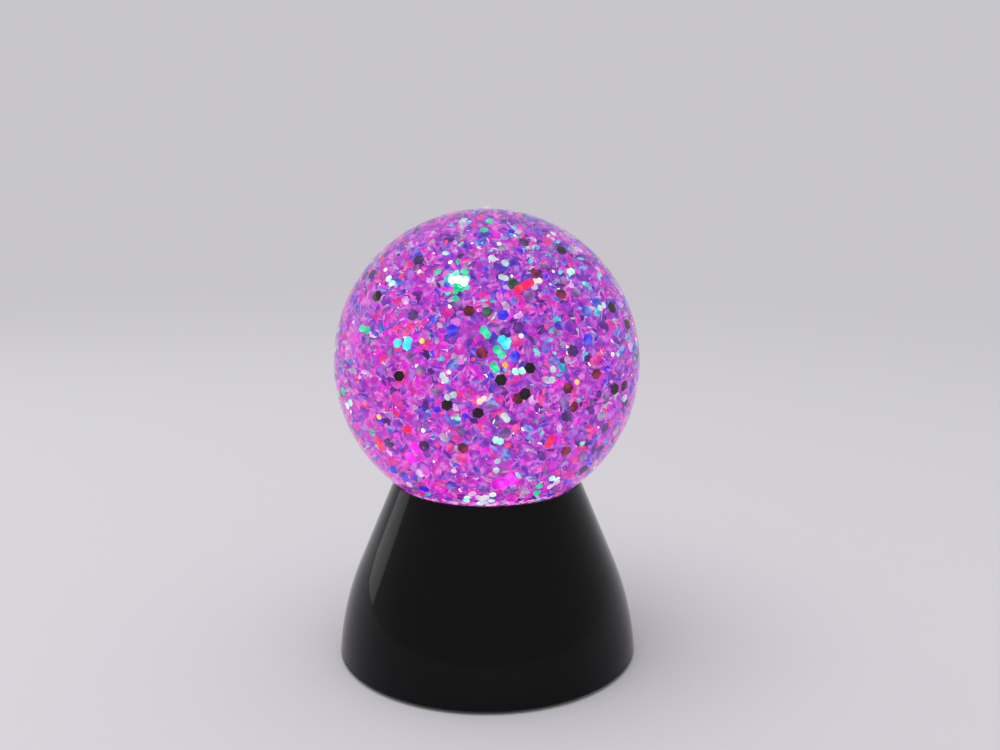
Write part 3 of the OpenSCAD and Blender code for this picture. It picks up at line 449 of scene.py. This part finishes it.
# Painted light: each tint is the lamp light that the foil sends back, drawn as an emission, with its share of
# all the flakes and its lean, which paints the lamps' light falling unevenly
# by place: to the right and upwards from the ball's centre, or the other way where negative
FOILS: tuple[Foil, ...] = (
    Foil("violet", ("#7424B4", "#9C42CC", "#C67CE6"), 0.18, (0.3, 0.2)),
    Foil("purple", ("#9624BC", "#C03ECE", "#E682EA"), 0.21),
    Foil("orchid", ("#C422BC", "#E43CCA", "#FA82E6"), 0.155, (-0.5, -0.3)),
    Foil("magenta", ("#DA0CDC", "#F424E4", "#FF60F2"), 0.06, (-0.8, -0.8)),
    Foil("pink", ("#D4229C", "#F03C9E", "#FF80C4"), 0.065, (-0.3, -0.5)),
    Foil("blue_violet", ("#4826AC", "#6846CC", "#9A80EA"), 0.06, (0.2, 0.3)),
    Foil("mauve", ("#6A4690", "#8A62AA", "#B08CC8"), 0.045, (0.5, 0.1)),
    Foil("deep_purple", ("#441A70", "#5C288C", "#803CA4"), 0.05, (0.5, 0.0)),
    Foil("electric_blue", ("#3010E0", "#4A30F8", "#7C70FF"), 0.025, (0.2, -0.2), glow=1.0, scale=0.65),
    Foil("blue", ("#3448CC", "#5C78E0", "#9CB4F4"), 0.028, (0.2, 0.3)),
    Foil("cyan", ("#18A0C0", "#50D0DC", "#A8F4F0"), 0.026, (0.0, 0.6), glow=1.0, scale=0.75),
    Foil("mint", ("#20C090", "#70ECC0", "#D8FFF0"), 0.012, (0.0, 0.2), glow=1.0, scale=0.6),
    Foil("hot_pink", ("#F00878", "#FF2878", "#FF6C98"), 0.032, (-0.2, -0.4), glow=1.0, scale=0.65),
    Foil("silver_lilac", ("#9C88B0", "#BEA8CC", "#E2D2EA"), 0.035, (0.0, 0.4)),
    Foil("lilac", ("#D088E8", "#E8B0F2", "#FCE0FF"), 0.024, (-0.1, 0.3), glow=1.0, scale=0.8),
    # Painted glints: small white flakes with a stronger emission
    Foil("glint", ("#F8E0FF", "#FFF4FF", "#FFFFFF"), 0.02, (0.0, 0.2), glow=1.5, scale=0.4),
)


@dataclass(frozen=True)
class Accent:
    """Flakes at the outside of the water with painted light: bright where they catch a lamp, and painted
    shade where they turn a dark face to the viewer.
    """

    foil: Foil
    spots_px: tuple[tuple[int, int], ...]
    copies: int = 1  # flakes at each spot
    scatter_px: float = 0.0
    depth: float = 0.0  # millimetres in from the outermost of them
    around: bool = True  # whether the sides that the photograph doesn't show have as many


# Where the photograph shows them, in its pixels
ACCENTS: tuple[Accent, ...] = (
    # Painted shade: flakes that send no lamp light back, drawn near black, dark violet, dark red and dark
    # green
    Accent(Foil("black", ("#08060A", "#100C14", "#1A141E"), body="#040305"), (
        (562, 250), (377, 296), (501, 380), (530, 368), (525, 394), (447, 405), (478, 413), (399, 376),
        (613, 307), (628, 324), (615, 389), (624, 386))),
    Accent(Foil("shade_smoke", ("#382050", "#4C3068", "#6A4A88"), body="#0C0A10"), (
        (524, 242), (413, 315), (418, 259), (372, 274), (424, 446), (389, 443),
        (573, 351), (605, 428), (584, 470), (567, 417))),
    Accent(Foil("shade_maroon", ("#481628", "#6A2038", "#98344C"), body="#0E0508"), (
        (469, 311), (535, 273), (597, 374), (518, 399), (574, 407), (568, 388), (463, 448), (566, 451),
        (482, 353), (561, 294))),
    Accent(Foil("shade_bottle_green", ("#1E382E", "#305446", "#4E7664"), body="#060C0A"), ((487, 312), (513, 284))),
    # Painted highlights: flakes that send a lamp's light straight back, drawn as bright emission; lamp_white,
    # lamp_halo and lamp_green together paint one lamp's starburst reflection
    Accent(Foil("lamp_white", ("#E0FFF0", "#F4FFFA", "#FFFFFF"), glow=2.5, scale=0.7), (
        (453, 280), (459, 279), (464, 281)), 2, 1.2, around=False),
    Accent(Foil("lamp_halo", ("#50F0B4", "#88FFD4", "#C8FFEC"), glow=1.3, scale=0.5), (
        (458, 280),), 12, 4.5, 0.8, around=False),
    Accent(Foil("lamp_green", ("#04B070", "#14DC94", "#3CF8B8"), glow=1.1, scale=0.5), (
        (458, 282),), 30, 6.5, 1.5, around=False),
    Accent(Foil("lamp_spring", ("#08C07C", "#20E89C", "#60FFC8"), glow=1.1, scale=0.7), (
        (498, 367), (486, 228), (365, 326), (535, 492), (343, 392), (499, 349), (485, 332)), 2, 3.0),
    Accent(Foil("lamp_mint", ("#84ECC8", "#B8FFE4", "#F0FFFA"), glow=1.2, scale=0.65), (
        (516, 374), (570, 273), (388, 285), (501, 437), (558, 483), (350, 405), (472, 498), (482, 500),
        (492, 500)), 2, 3.0),
    Accent(Foil("lamp_pearl", ("#F0C4F0", "#F8E4F8", "#F0FFF8"), scale=0.75), (
        (474, 496), (480, 497), (487, 498), (483, 503), (409, 486), (551, 486), (558, 483)), 1, 1.0),
    Accent(Foil("lamp_cyan", ("#10C8DC", "#30ECF4", "#88FFFC"), glow=1.1, scale=0.8), (
        (507, 341), (403, 344)), 3, 3.0),
    Accent(Foil("lamp_blue", ("#2018E0", "#4034F8", "#6C68FF")), (
        (515, 356), (588, 339), (503, 315), (393, 470), (452, 330), (424, 489), (405, 478))),
    Accent(Foil("lamp_red", ("#F00860", "#FF1858", "#FF5A60"), glow=1.1, scale=0.75), (
        (522, 285), (529, 283), (381, 445), (550, 442), (409, 430)), 2, 3.0),
    Accent(Foil("lamp_amber", ("#FF9020", "#FFC82C", "#FFF060"), glow=1.1, scale=0.5), (
        (577, 382), (505, 365), (379, 417), (422, 341))),
    Accent(Foil("lamp_magenta", ("#F808E8", "#FF20F0", "#FF54FF"), glow=1.1), (
        (413, 451), (509, 483)), 4, 5.0),
    Accent(Foil("lamp_cream", ("#F8D0B8", "#FFECD0", "#FFFFF0"), glow=1.1, scale=0.55), (
        (480, 403), (483, 400), (535, 280), (539, 281)), 1, 1.0),
    Accent(Foil("lamp_frost", ("#A8D8D0", "#D0F0E8", "#F4FFFC"), scale=0.6), (
        (554, 377), (445, 378), (505, 417), (498, 466), (491, 254), (465, 221), (505, 263), (451, 394),
        (599, 308), (507, 275)), 2, 2.5),
)


# Painted glow: bright flakes just above the rim, standing in for the light of the lamps under the ball, which
# are nearest there
SEAT_GLOW_FOIL = Foil("lamp_blush", ("#F05CE0", "#FF98F0", "#FFD4FA"), glow=1.1, scale=0.42)


@dataclass
class Sight:
    """The camera, from a fit to the ball's outline, the rim and the foot in the photograph."""

    focal_px: float = 1139.81
    place: tuple[float, float, float] = (0.0, -368.58, 172.32)
    pitch_down: float = 11.792
    yaw_right: float = 0.669
    width_px: int = 1000
    height_px: int = 750
    film_mm: float = 36.0
    near_m: float = 0.01

    def turn(self) -> Matrix:
        """The camera's rotation as a matrix."""
        aim = Matrix.Rotation(math.radians(90 - self.pitch_down), 3, "X")
        return Matrix.Rotation(math.radians(-self.yaw_right), 3, "Z") @ aim

    def ray(self, x_px: float, y_px: float) -> Vector:
        """The direction in the CAD frame that a pixel looks along."""
        here = Vector((x_px - self.width_px / 2, self.height_px / 2 - y_px, -self.focal_px))
        return (self.turn() @ here).normalized()

    def build(self) -> None:
        """Makes the camera and gives it to the scene."""
        data = bpy.data.cameras.new("photo_view")
        data.sensor_fit = "HORIZONTAL"
        data.sensor_width = self.film_mm
        data.lens = self.focal_px * self.film_mm / self.width_px
        data.clip_start = self.near_m
        camera = bpy.data.objects.new("photo_view", data)
        camera.matrix_world = Matrix.Translation(Vector(self.place) * MM) @ self.turn().to_4x4()
        bpy.context.scene.collection.objects.link(camera)
        bpy.context.scene.camera = camera


def make_piece(name: str, shape: bmesh.types.BMesh, material: bpy.types.Material, body: str,
               smooth: bool = True) -> bpy.types.Object:
    """Turns a finished bmesh into a piece of the lamp.

    Args:
        name: The piece's name.
        shape: Its mesh, in metres; freed here.
        material: What it is dressed in.
        body: The CAD body that it rides on.
        smooth: Whether its faces are shaded smooth.

    Returns:
        The new object, at the origin.
    """
    mesh = bpy.data.meshes.new(name)
    for face in shape.faces:
        face.smooth = smooth
    shape.to_mesh(mesh)
    shape.free()
    mesh.materials.append(material)
    piece = bpy.data.objects.new(name, mesh)
    bpy.context.scene.collection.objects.link(piece)
    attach(piece, body)
    LOG.info("%s: %d faces on %s", name, len(mesh.polygons), body)
    return piece


def spin_profile(name: str, points: list[tuple[float, float]], arcs: dict[int, tuple[float, int]],
                 steps: int = 160) -> bmesh.types.BMesh:
    """Turns a profile about the lamp's axis.

    Args:
        name: The piece, for the log.
        points: Radius and height of each corner, in millimetres.
        arcs: For a corner that an arc starts from, the height of the arc's centre on the axis and
            the number of steps to the next corner.
        steps: Steps of the full turn.

    Returns:
        A closed mesh with its faces pointing out.
    """
    shape = bmesh.new()
    last = shape.verts.new((points[0][0] * MM, 0, points[0][1] * MM))
    for index, (radius, height) in enumerate(points[1:]):
        if index in arcs:
            centre, count = arcs[index]
            start = math.atan2(points[index][1] - centre, points[index][0])
            end = math.atan2(height - centre, radius)
            swept = bmesh.ops.spin(shape, geom=[last], cent=(0, 0, centre * MM), axis=(0, -1, 0),
                                   angle=end - start, steps=count)
            last = next(v for v in swept["geom_last"] if isinstance(v, bmesh.types.BMVert))
        else:
            fresh = shape.verts.new((radius * MM, 0, height * MM))
            shape.edges.new((last, fresh))
            last = fresh
    bmesh.ops.spin(shape, geom=shape.verts[:] + shape.edges[:], cent=(0, 0, 0), axis=(0, 0, 1),
                   angle=math.tau, steps=steps, use_merge=True)
    bmesh.ops.remove_doubles(shape, verts=shape.verts[:], dist=WELD_MM * MM)
    bmesh.ops.recalc_face_normals(shape, faces=shape.faces[:])
    LOG.info("%s: profile of %d corners turned", name, len(points))
    return shape


@dataclass
class Ball:
    """The clear ball with its neck, and the water in it."""

    centre_z: float = 99.9
    radius: float = 50.0
    wall: float = 2.0
    gate_spread: float = 1.43
    gate_height: float = 0.7
    neck_radius: float = 15.0
    bore_radius: float = 13.0
    neck_length: float = 3.0
    water_gap: float = 0.3
    stir_radius: float = 10.1
    stir_top: float = 62.8
    arc_steps: int = 120
    gate_steps: int = 12
    inner_margin: float = 0.1  # a face is the inner wall's if its middle is no further out than this
    gate_margin: float = 0.02  # and the gate's if it stands out of the ball by more than this

    def height_at(self, sphere: float, radius: float) -> float:
        """Height of a sphere's underside about the ball's centre, at a radius."""
        return self.centre_z - math.sqrt(sphere ** 2 - radius ** 2)

    def build_shell(self) -> None:
        """The moulded ball: gate mark, outer wall, neck and inner wall as one skin."""
        inner = self.radius - self.wall
        foot = self.centre_z - self.radius - self.neck_length
        crown = self.centre_z + self.radius
        gate_foot = self.centre_z + math.sqrt(self.radius ** 2 - self.gate_spread ** 2)
        gate_top = crown + self.gate_height
        rise = gate_top - gate_foot
        gate_centre = gate_top - (self.gate_spread ** 2 + rise ** 2) / (2 * rise)
        shape = spin_profile("clear_ball", [
            (0.0, gate_top), (self.gate_spread, gate_foot),
            (self.neck_radius, self.height_at(self.radius, self.neck_radius)),
            (self.neck_radius, foot), (self.bore_radius, foot),
            (self.bore_radius, self.height_at(inner, self.bore_radius)), (0.0, self.centre_z + inner)],
            {0: (gate_centre, self.gate_steps), 1: (self.centre_z, self.arc_steps),
             5: (self.centre_z, self.arc_steps)})
        middle = Vector((0, 0, self.centre_z * MM))
        for face in shape.faces:
            place = face.calc_center_median()
            away = (place - middle).length / MM
            worn = BallFace.OUTER
            if away < inner + self.inner_margin:
                worn = BallFace.WETTED
            elif away > self.radius + self.gate_margin and place.z > middle.z:
                worn = BallFace.GATE
            face.material_index = worn.value
        piece = make_piece("clear_ball", shape, CLEAR_ACRYLIC.build(), "base")
        piece.data.materials.append(WETTED_ACRYLIC.build())
        piece.data.materials.append(FROSTED_ACRYLIC.build())
        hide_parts("ball_shell")

    def build_water(self) -> None:
        """The water, with the room that the impeller turns in."""
        reach = self.radius - self.wall - self.water_gap
        shape = spin_profile("water_ball", [
            (0.0, self.centre_z + reach), (self.stir_radius, self.height_at(reach, self.stir_radius)),
            (self.stir_radius, self.stir_top), (0.0, self.stir_top)],
            {0: (self.centre_z, self.arc_steps)})
        piece = make_piece("water_ball", shape, CLEAR_WATER.build(), "swirl")
        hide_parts("water_fill")


# A flake's middle in millimetres, its turn and its size against a whole flake
Flake = tuple[Vector, Quaternion, float]


@dataclass
class Glitter:
    """Hexagonal foil flakes adrift in the water: the CAD's own, and more that fill in between."""

    ball: Ball
    sight: Sight
    node: str = "glitter_flakes"
    count: int = 9300
    sides: int = 6
    across: float = 3.2
    scales: tuple[float, ...] = (1.0, 0.62, 0.4)
    scale_shares: tuple[float, ...] = (0.55, 0.3, 0.15)
    thick: float = 0.06
    reach: float = 45.6  # of a drifting flake's middle, from the ball's centre
    front_reach: float = 47.2  # of an accent's or a seat flake's middle
    front_depth: float = 1.2  # how far in from there they are spread
    corner_reach: float = 47.6  # of any flake's corners
    lean: float = 0.45  # radians that a facing flake nods or tips at most
    spin: float = 1.0  # about a sixth of a turn, after which a hexagon looks the same
    seat_count: int = 240
    seat_angles: tuple[float, float] = (34.2, 36.4)  # degrees from straight down
    far_edge: float = 0.05  # far flakes lie where the cosine to the viewer is less
    far_low: float = -0.75  # and no lower than this share of the radius
    clear_radius: float = 12.0  # room for the impeller
    clear_top: float = 64.5
    seed: int = 11

    def centre(self) -> Vector:
        """The ball's centre."""
        return Vector((0, 0, self.ball.centre_z))

    def front_spot(self, x_px: float, y_px: float, depth: float) -> tuple[Vector, Vector]:
        """Where a pixel's line of sight, bent at the ball's surface, reaches the front flakes.

        Args:
            x_px: Pixel column in the photograph.
            y_px: Pixel row in the photograph.
            depth: How far in from the front flakes the spot lies, in millimetres.

        Returns:
            The spot in millimetres and the direction of sight there.
        """
        eye, look, centre = Vector(self.sight.place), self.sight.ray(x_px, y_px), self.centre()
        back = look.dot(eye - centre)
        reach = math.sqrt(back ** 2 - (eye - centre).length_squared + self.ball.radius ** 2)
        entry = eye + look * (-back - reach)
        out = (entry - centre).normalized()
        slant = -look.dot(out)
        ratio = 1 / CLEAR_ACRYLIC.ior
        bent = look * ratio + out * (ratio * slant - math.sqrt(1 - ratio ** 2 * (1 - slant ** 2)))
        step = bent.dot(entry - centre)
        run = -step - math.sqrt(step ** 2 - self.ball.radius ** 2 + (self.front_reach - depth) ** 2)
        return entry + bent * run, bent

    def add_flake(self, shape: bmesh.types.BMesh, flake: Flake, scale: float) -> None:
        """Adds one hexagonal flake, moved inwards where a corner would leave the water.

        Args:
            shape: The mesh that it joins.
            flake: Where it is, how it is turned and its size.
            scale: A factor on that size.
        """
        spot, turn, size = flake
        corner = scale * size * self.across / math.sqrt(3)
        away = spot - self.centre()
        square = (turn @ Vector((0, 0, 1))).dot(away.normalized())
        rise = corner * math.sqrt(max(0.0, 1 - square ** 2))
        furthest = math.sqrt(rise ** 2 + self.corner_reach ** 2 - corner ** 2) - rise
        spot = self.centre() + away.normalized() * min(away.length, furthest)
        place = Matrix.Translation(spot * MM) @ turn.to_matrix().to_4x4()
        bmesh.ops.create_cone(shape, cap_ends=True, segments=self.sides, radius1=corner * MM,
                              radius2=corner * MM, depth=self.thick * MM, matrix=place)

    def turn(self, lie: FlakeLie, dice: random.Random, look: Vector | None = None) -> Quaternion:
        """How a flake is turned.

        Args:
            lie: How it lies in the water.
            dice: The source of chance.
            look: The direction that a facing flake is square to; one adrift has none.

        Returns:
            Its rotation.
        """
        if lie is FlakeLie.ADRIFT or look is None:
            return Quaternion([dice.gauss(0, 1) for _ in range(4)]).normalized()
        nod = Quaternion((1, 0, 0), dice.uniform(-self.lean, self.lean))
        tip = Quaternion((0, 1, 0), dice.uniform(-self.lean, self.lean))
        return look.to_track_quat("Z", "Y") @ nod @ tip @ Quaternion((0, 0, 1), dice.uniform(0, self.spin))

    def any_spot(self, dice: random.Random) -> Vector:
        """Finds a random spot in the water, clear of the impeller.

        Args:
            dice: The source of chance.

        Returns:
            The spot in millimetres.
        """
        while True:
            spot = Vector([dice.uniform(-self.reach, self.reach) for _ in range(3)])
            if spot.length > self.reach:
                continue
            spot += self.centre()
            if spot.z > self.clear_top or math.hypot(spot.x, spot.y) > self.clear_radius:
                return spot

    def cad_flakes(self) -> list[Flake]:
        """Reads the flakes of the CAD node, one for each loose hexagon in its mesh.

        Returns:
            The flakes in order of place, so that the draws don't hang on the mesh's order.
        """
        shape = bmesh.new()
        shape.from_mesh(frame["nodes"][self.node].data)
        bmesh.ops.remove_doubles(shape, verts=shape.verts[:], dist=CAD_WELD_MM * MM)
        flakes = []
        for first in shape.verts:
            if first.tag:
                continue
            first.tag = True
            island = [first]
            for vert in island:
                for edge in vert.link_edges:
                    other = edge.other_vert(vert)
                    if not other.tag:
                        other.tag = True
                        island.append(other)
            middle = sum((vert.co for vert in island), Vector()) / len(island)
            # The shortest edge at a corner is the one through the flake's thickness
            short = min(first.link_edges, key=lambda edge: edge.calc_length())
            up = (short.verts[1].co - short.verts[0].co).normalized()
            corner = first.co - middle
            corner = (corner - up * corner.dot(up)).normalized()
            turn = Matrix((corner.cross(up), corner, up)).transposed().to_quaternion()
            flakes.append((middle / MM, turn, 1.0))
        shape.free()
        LOG.info("%s: %d flakes taken over", self.node, len(flakes))
        return sorted(flakes, key=lambda flake: [round(part, 1) for part in flake[0]])

    def drifting_flakes(self, dice: random.Random) -> list[Flake]:
        """The flakes that fill in between, at random."""
        return [(self.any_spot(dice), self.turn(FlakeLie.ADRIFT, dice),
                 dice.choices(self.scales, self.scale_shares)[0]) for _ in range(self.count)]

    def front_flakes(self, accent: Accent, dice: random.Random) -> list[Flake]:
        """Places the flakes of one accent, each behind its pixel of the photograph.

        Args:
            accent: Their pixels, copies and scatter.
            dice: The source of chance.

        Returns:
            The flakes, facing the viewer.
        """
        flakes = []
        for x_px, y_px in accent.spots_px:
            for _ in range(accent.copies):
                aside, below = dice.gauss(0, accent.scatter_px), dice.gauss(0, accent.scatter_px)
                depth = accent.depth + dice.uniform(0, self.front_depth)
                spot, look = self.front_spot(x_px + aside, y_px + below, depth)
                facing = look + (self.centre() - spot).normalized()
                flakes.append((spot, self.turn(FlakeLie.FACING, dice, facing), 1.0))
        return flakes

    def far_flakes(self, accent: Accent, dice: random.Random) -> list[Flake]:
        """Places as many flakes of one accent again, on the sides that the photograph doesn't show.

        Args:
            accent: Their copies and scatter.
            dice: The source of chance.

        Returns:
            The flakes, or none for an accent that isn't all around.
        """
        toward = Vector(self.sight.place) - self.centre()
        scatter = accent.scatter_px * toward.length / self.sight.focal_px
        flakes = []
        for _ in accent.spots_px if accent.around else ():
            out = toward.normalized()
            while out.dot(toward) > self.far_edge * toward.length or out.z < self.far_low:
                out = Vector([dice.gauss(0, 1) for _ in range(3)]).normalized()
            for _ in range(accent.copies):
                aside = out * self.front_reach + Vector([dice.gauss(0, scatter) for _ in range(3)])
                depth = accent.depth + dice.uniform(0, self.front_depth)
                spot = self.centre() + aside.normalized() * (self.front_reach - depth)
                flakes.append((spot, self.turn(FlakeLie.FACING, dice, -out), 1.0))
        return flakes

    def seat_flakes(self, dice: random.Random) -> list[Flake]:
        """Places a band of flakes for the painted glow just above the rim, at angles from the bottom of the
        ball.

        Args:
            dice: The source of chance.

        Returns:
            The flakes, facing outwards.
        """
        flakes = []
        for _ in range(self.seat_count):
            rise, round_by = math.radians(dice.uniform(*self.seat_angles)), dice.uniform(0, math.tau)
            across, down = math.sin(rise), math.cos(rise)
            out = Vector((across * math.cos(round_by), across * math.sin(round_by), -down))
            spot = self.centre() + out * (self.front_reach - dice.uniform(0, self.front_depth))
            flakes.append((spot, self.turn(FlakeLie.FACING, dice, -out), 1.0))
        return flakes

    def build(self) -> None:
        """Makes one piece for each tint of foil."""
        dice = random.Random(self.seed)
        by_tint: dict[str, list[Flake]] = {foil.name: [] for foil in FOILS}
        for flake in self.cad_flakes() + self.drifting_flakes(dice):
            away = (flake[0] - self.centre()) / self.reach
            foil = dice.choices(FOILS, [foil.weight(away) for foil in FOILS])[0]
            by_tint[foil.name].append(flake)
        batches = [(foil, by_tint[foil.name]) for foil in FOILS]
        batches += [(accent.foil, self.front_flakes(accent, dice) + self.far_flakes(accent, dice))
                    for accent in ACCENTS]
        batches.append((SEAT_GLOW_FOIL, self.seat_flakes(dice)))
        for foil, flakes in batches:
            shape = bmesh.new()
            for flake in flakes:
                self.add_flake(shape, flake, foil.scale)
            piece = make_piece("flakes_" + foil.name, shape, foil.build(), "swirl",
                               smooth=False)
            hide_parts(self.node)


@dataclass
class Dressing:
    """Finishes for the CAD nodes that stay as they are."""

    replaced: tuple[str, ...] = ("ball_shell", "water_fill", "glitter_flakes")

    def build(self) -> None:
        """Gives each node the finish of its material slot."""
        made: dict[str, bpy.types.Material] = {}
        for row in frame["record"]["subparts"]:
            name, slot = row["node"], row["material_slot"]
            if name in self.replaced:
                continue
            if slot not in made:
                made[slot] = SLOT_FINISHES[slot].build()
            mesh = frame["nodes"][name].data
            mesh.materials.clear()
            mesh.materials.append(made[slot])
            LOG.info("%s: %s", name, made[slot].name)


@dataclass
class Softbox:
    """A rectangular studio lamp, in metres."""

    name: str
    place: tuple[float, float, float]
    target: tuple[float, float, float]
    size: tuple[float, float]
    watts: float
    mirrored: bool

    def build(self) -> None:
        """Makes the lamp, turned to its target."""
        data = bpy.data.lights.new(self.name, "AREA")
        data.shape = "RECTANGLE"
        data.size, data.size_y = self.size
        data.energy = self.watts
        lamp = bpy.data.objects.new(self.name, data)
        aim = Vector(self.target) - Vector(self.place)
        lamp.matrix_world = Matrix.Translation(self.place) @ aim.to_track_quat("-Z", "Y").to_matrix().to_4x4()
        lamp.visible_glossy = self.mirrored
        bpy.context.scene.collection.objects.link(lamp)


@dataclass
class Studio:
    """Pale floor, soft lamps and a pale surround, in metres."""

    floor_half: float = 6.0
    floor_colour: str = "#D2D0D5"
    surround_colour: str = "#C8C6CB"
    grain_mm: float = 1.2
    tones: tuple[float, float] = (0.97, 1.03)
    fade: tuple[float, float] = (0.35, 1.3)
    ambient: float = 0.75
    lamps: list[Softbox] = field(default_factory=lambda: [
        Softbox("left_window", (-0.77, 0.37, 0.26), (0, 0, 0.26), (0.33, 0.5), 0.5, True),
        Softbox("top_softbox", (-0.3, -0.3, 1.4), (0, 0, 0.0), (1.2, 1.2), 8.0, False),
    ])

    def seen_ray(self, tree: bpy.types.NodeTree) -> bpy.types.NodeSocket:
        """Tells whether a ray is one that the eye, gloss or glass sends out.

        Args:
            tree: The node tree to add to.

        Returns:
            The socket that is 1 for such a ray and 0 for others.
        """
        path = add_node(tree, "LightPath")
        gloss = add_node(tree, "Math", {0: path.outputs["Is Camera Ray"], 1: path.outputs["Is Glossy Ray"]},
                         operation="MAXIMUM")
        return add_node(tree, "Math", {0: gloss.outputs[0], 1: path.outputs["Is Transmission Ray"]},
                        operation="MAXIMUM").outputs[0]

    def build_floor(self) -> None:
        """The floor, a fine-grained pale board that runs into the surround far from the lamp."""
        material, tree, place = start_material("pale_board")
        grain = add_node(tree, "TexNoise", {"Vector": place, "Scale": per_mm(self.grain_mm), "Detail": 2.0})
        tone = add_node(tree, "MapRange", {"Value": grain.outputs["Fac"], "To Min": self.tones[0],
                                           "To Max": self.tones[1]})
        board = add_node(tree, "Mix", {0: 1.0, 6: linear(self.floor_colour), 7: tone.outputs["Result"]},
                         data_type="RGBA", blend_type="MULTIPLY")
        shader = add_node(tree, "BsdfPrincipled", {"Base Color": board.outputs[2], "Roughness": 0.8,
                                                   "Specular IOR Level": 0.1})
        away = add_node(tree, "VectorMath", {0: place}, operation="LENGTH")
        fade = add_node(tree, "MapRange", {"Value": away.outputs["Value"], "From Min": self.fade[0],
                                           "From Max": self.fade[1]}, interpolation_type="SMOOTHSTEP")
        share = add_node(tree, "Math", {0: fade.outputs["Result"], 1: self.seen_ray(tree)},
                         operation="MULTIPLY")
        far = add_node(tree, "Emission", {"Color": linear(self.surround_colour), "Strength": 1.0})
        both = add_node(tree, "MixShader", {0: share.outputs[0], 1: shader.outputs["BSDF"],
                                            2: far.outputs["Emission"]})
        add_node(tree, "OutputMaterial", {"Surface": both.outputs["Shader"]})
        shape = bmesh.new()
        bmesh.ops.create_grid(shape, x_segments=1, y_segments=1, size=self.floor_half)
        mesh = bpy.data.meshes.new("studio_floor")
        shape.to_mesh(mesh)
        shape.free()
        mesh.materials.append(material)
        floor = bpy.data.objects.new("studio_floor", mesh)
        bpy.context.scene.collection.objects.link(floor)

    def build_world(self) -> None:
        """A pale surround that the eye, gloss and glass see, and white light for the rest."""
        world = bpy.data.worlds.new("studio_surround")
        bpy.context.scene.world = world
        world.use_nodes = True
        tree = world.node_tree
        tree.nodes.clear()
        light = (self.ambient, self.ambient, self.ambient, 1.0)
        colour = add_node(tree, "Mix", {0: self.seen_ray(tree), 6: light, 7: linear(self.surround_colour)},
                          data_type="RGBA")
        back = add_node(tree, "Background", {"Color": colour.outputs[2], "Strength": 1.0})
        add_node(tree, "OutputWorld", {"Surface": back.outputs["Background"]})

    def build(self) -> None:
        """Sets the whole stage."""
        self.build_floor()
        self.build_world()
        for lamp in self.lamps:
            lamp.build()


def main() -> None:
    """Builds the lamp's looks, the studio and the camera, in order."""
    logging.basicConfig(level=logging.INFO, format="%(message)s")
    bpy.context.scene.view_settings.view_transform = "Standard"
    sight, ball = Sight(), Ball()
    sight.build()
    Dressing().build()
    ball.build_shell()
    ball.build_water()
    Glitter(ball, sight).build()
    Studio().build()


if __name__ == "__main__":
    main()
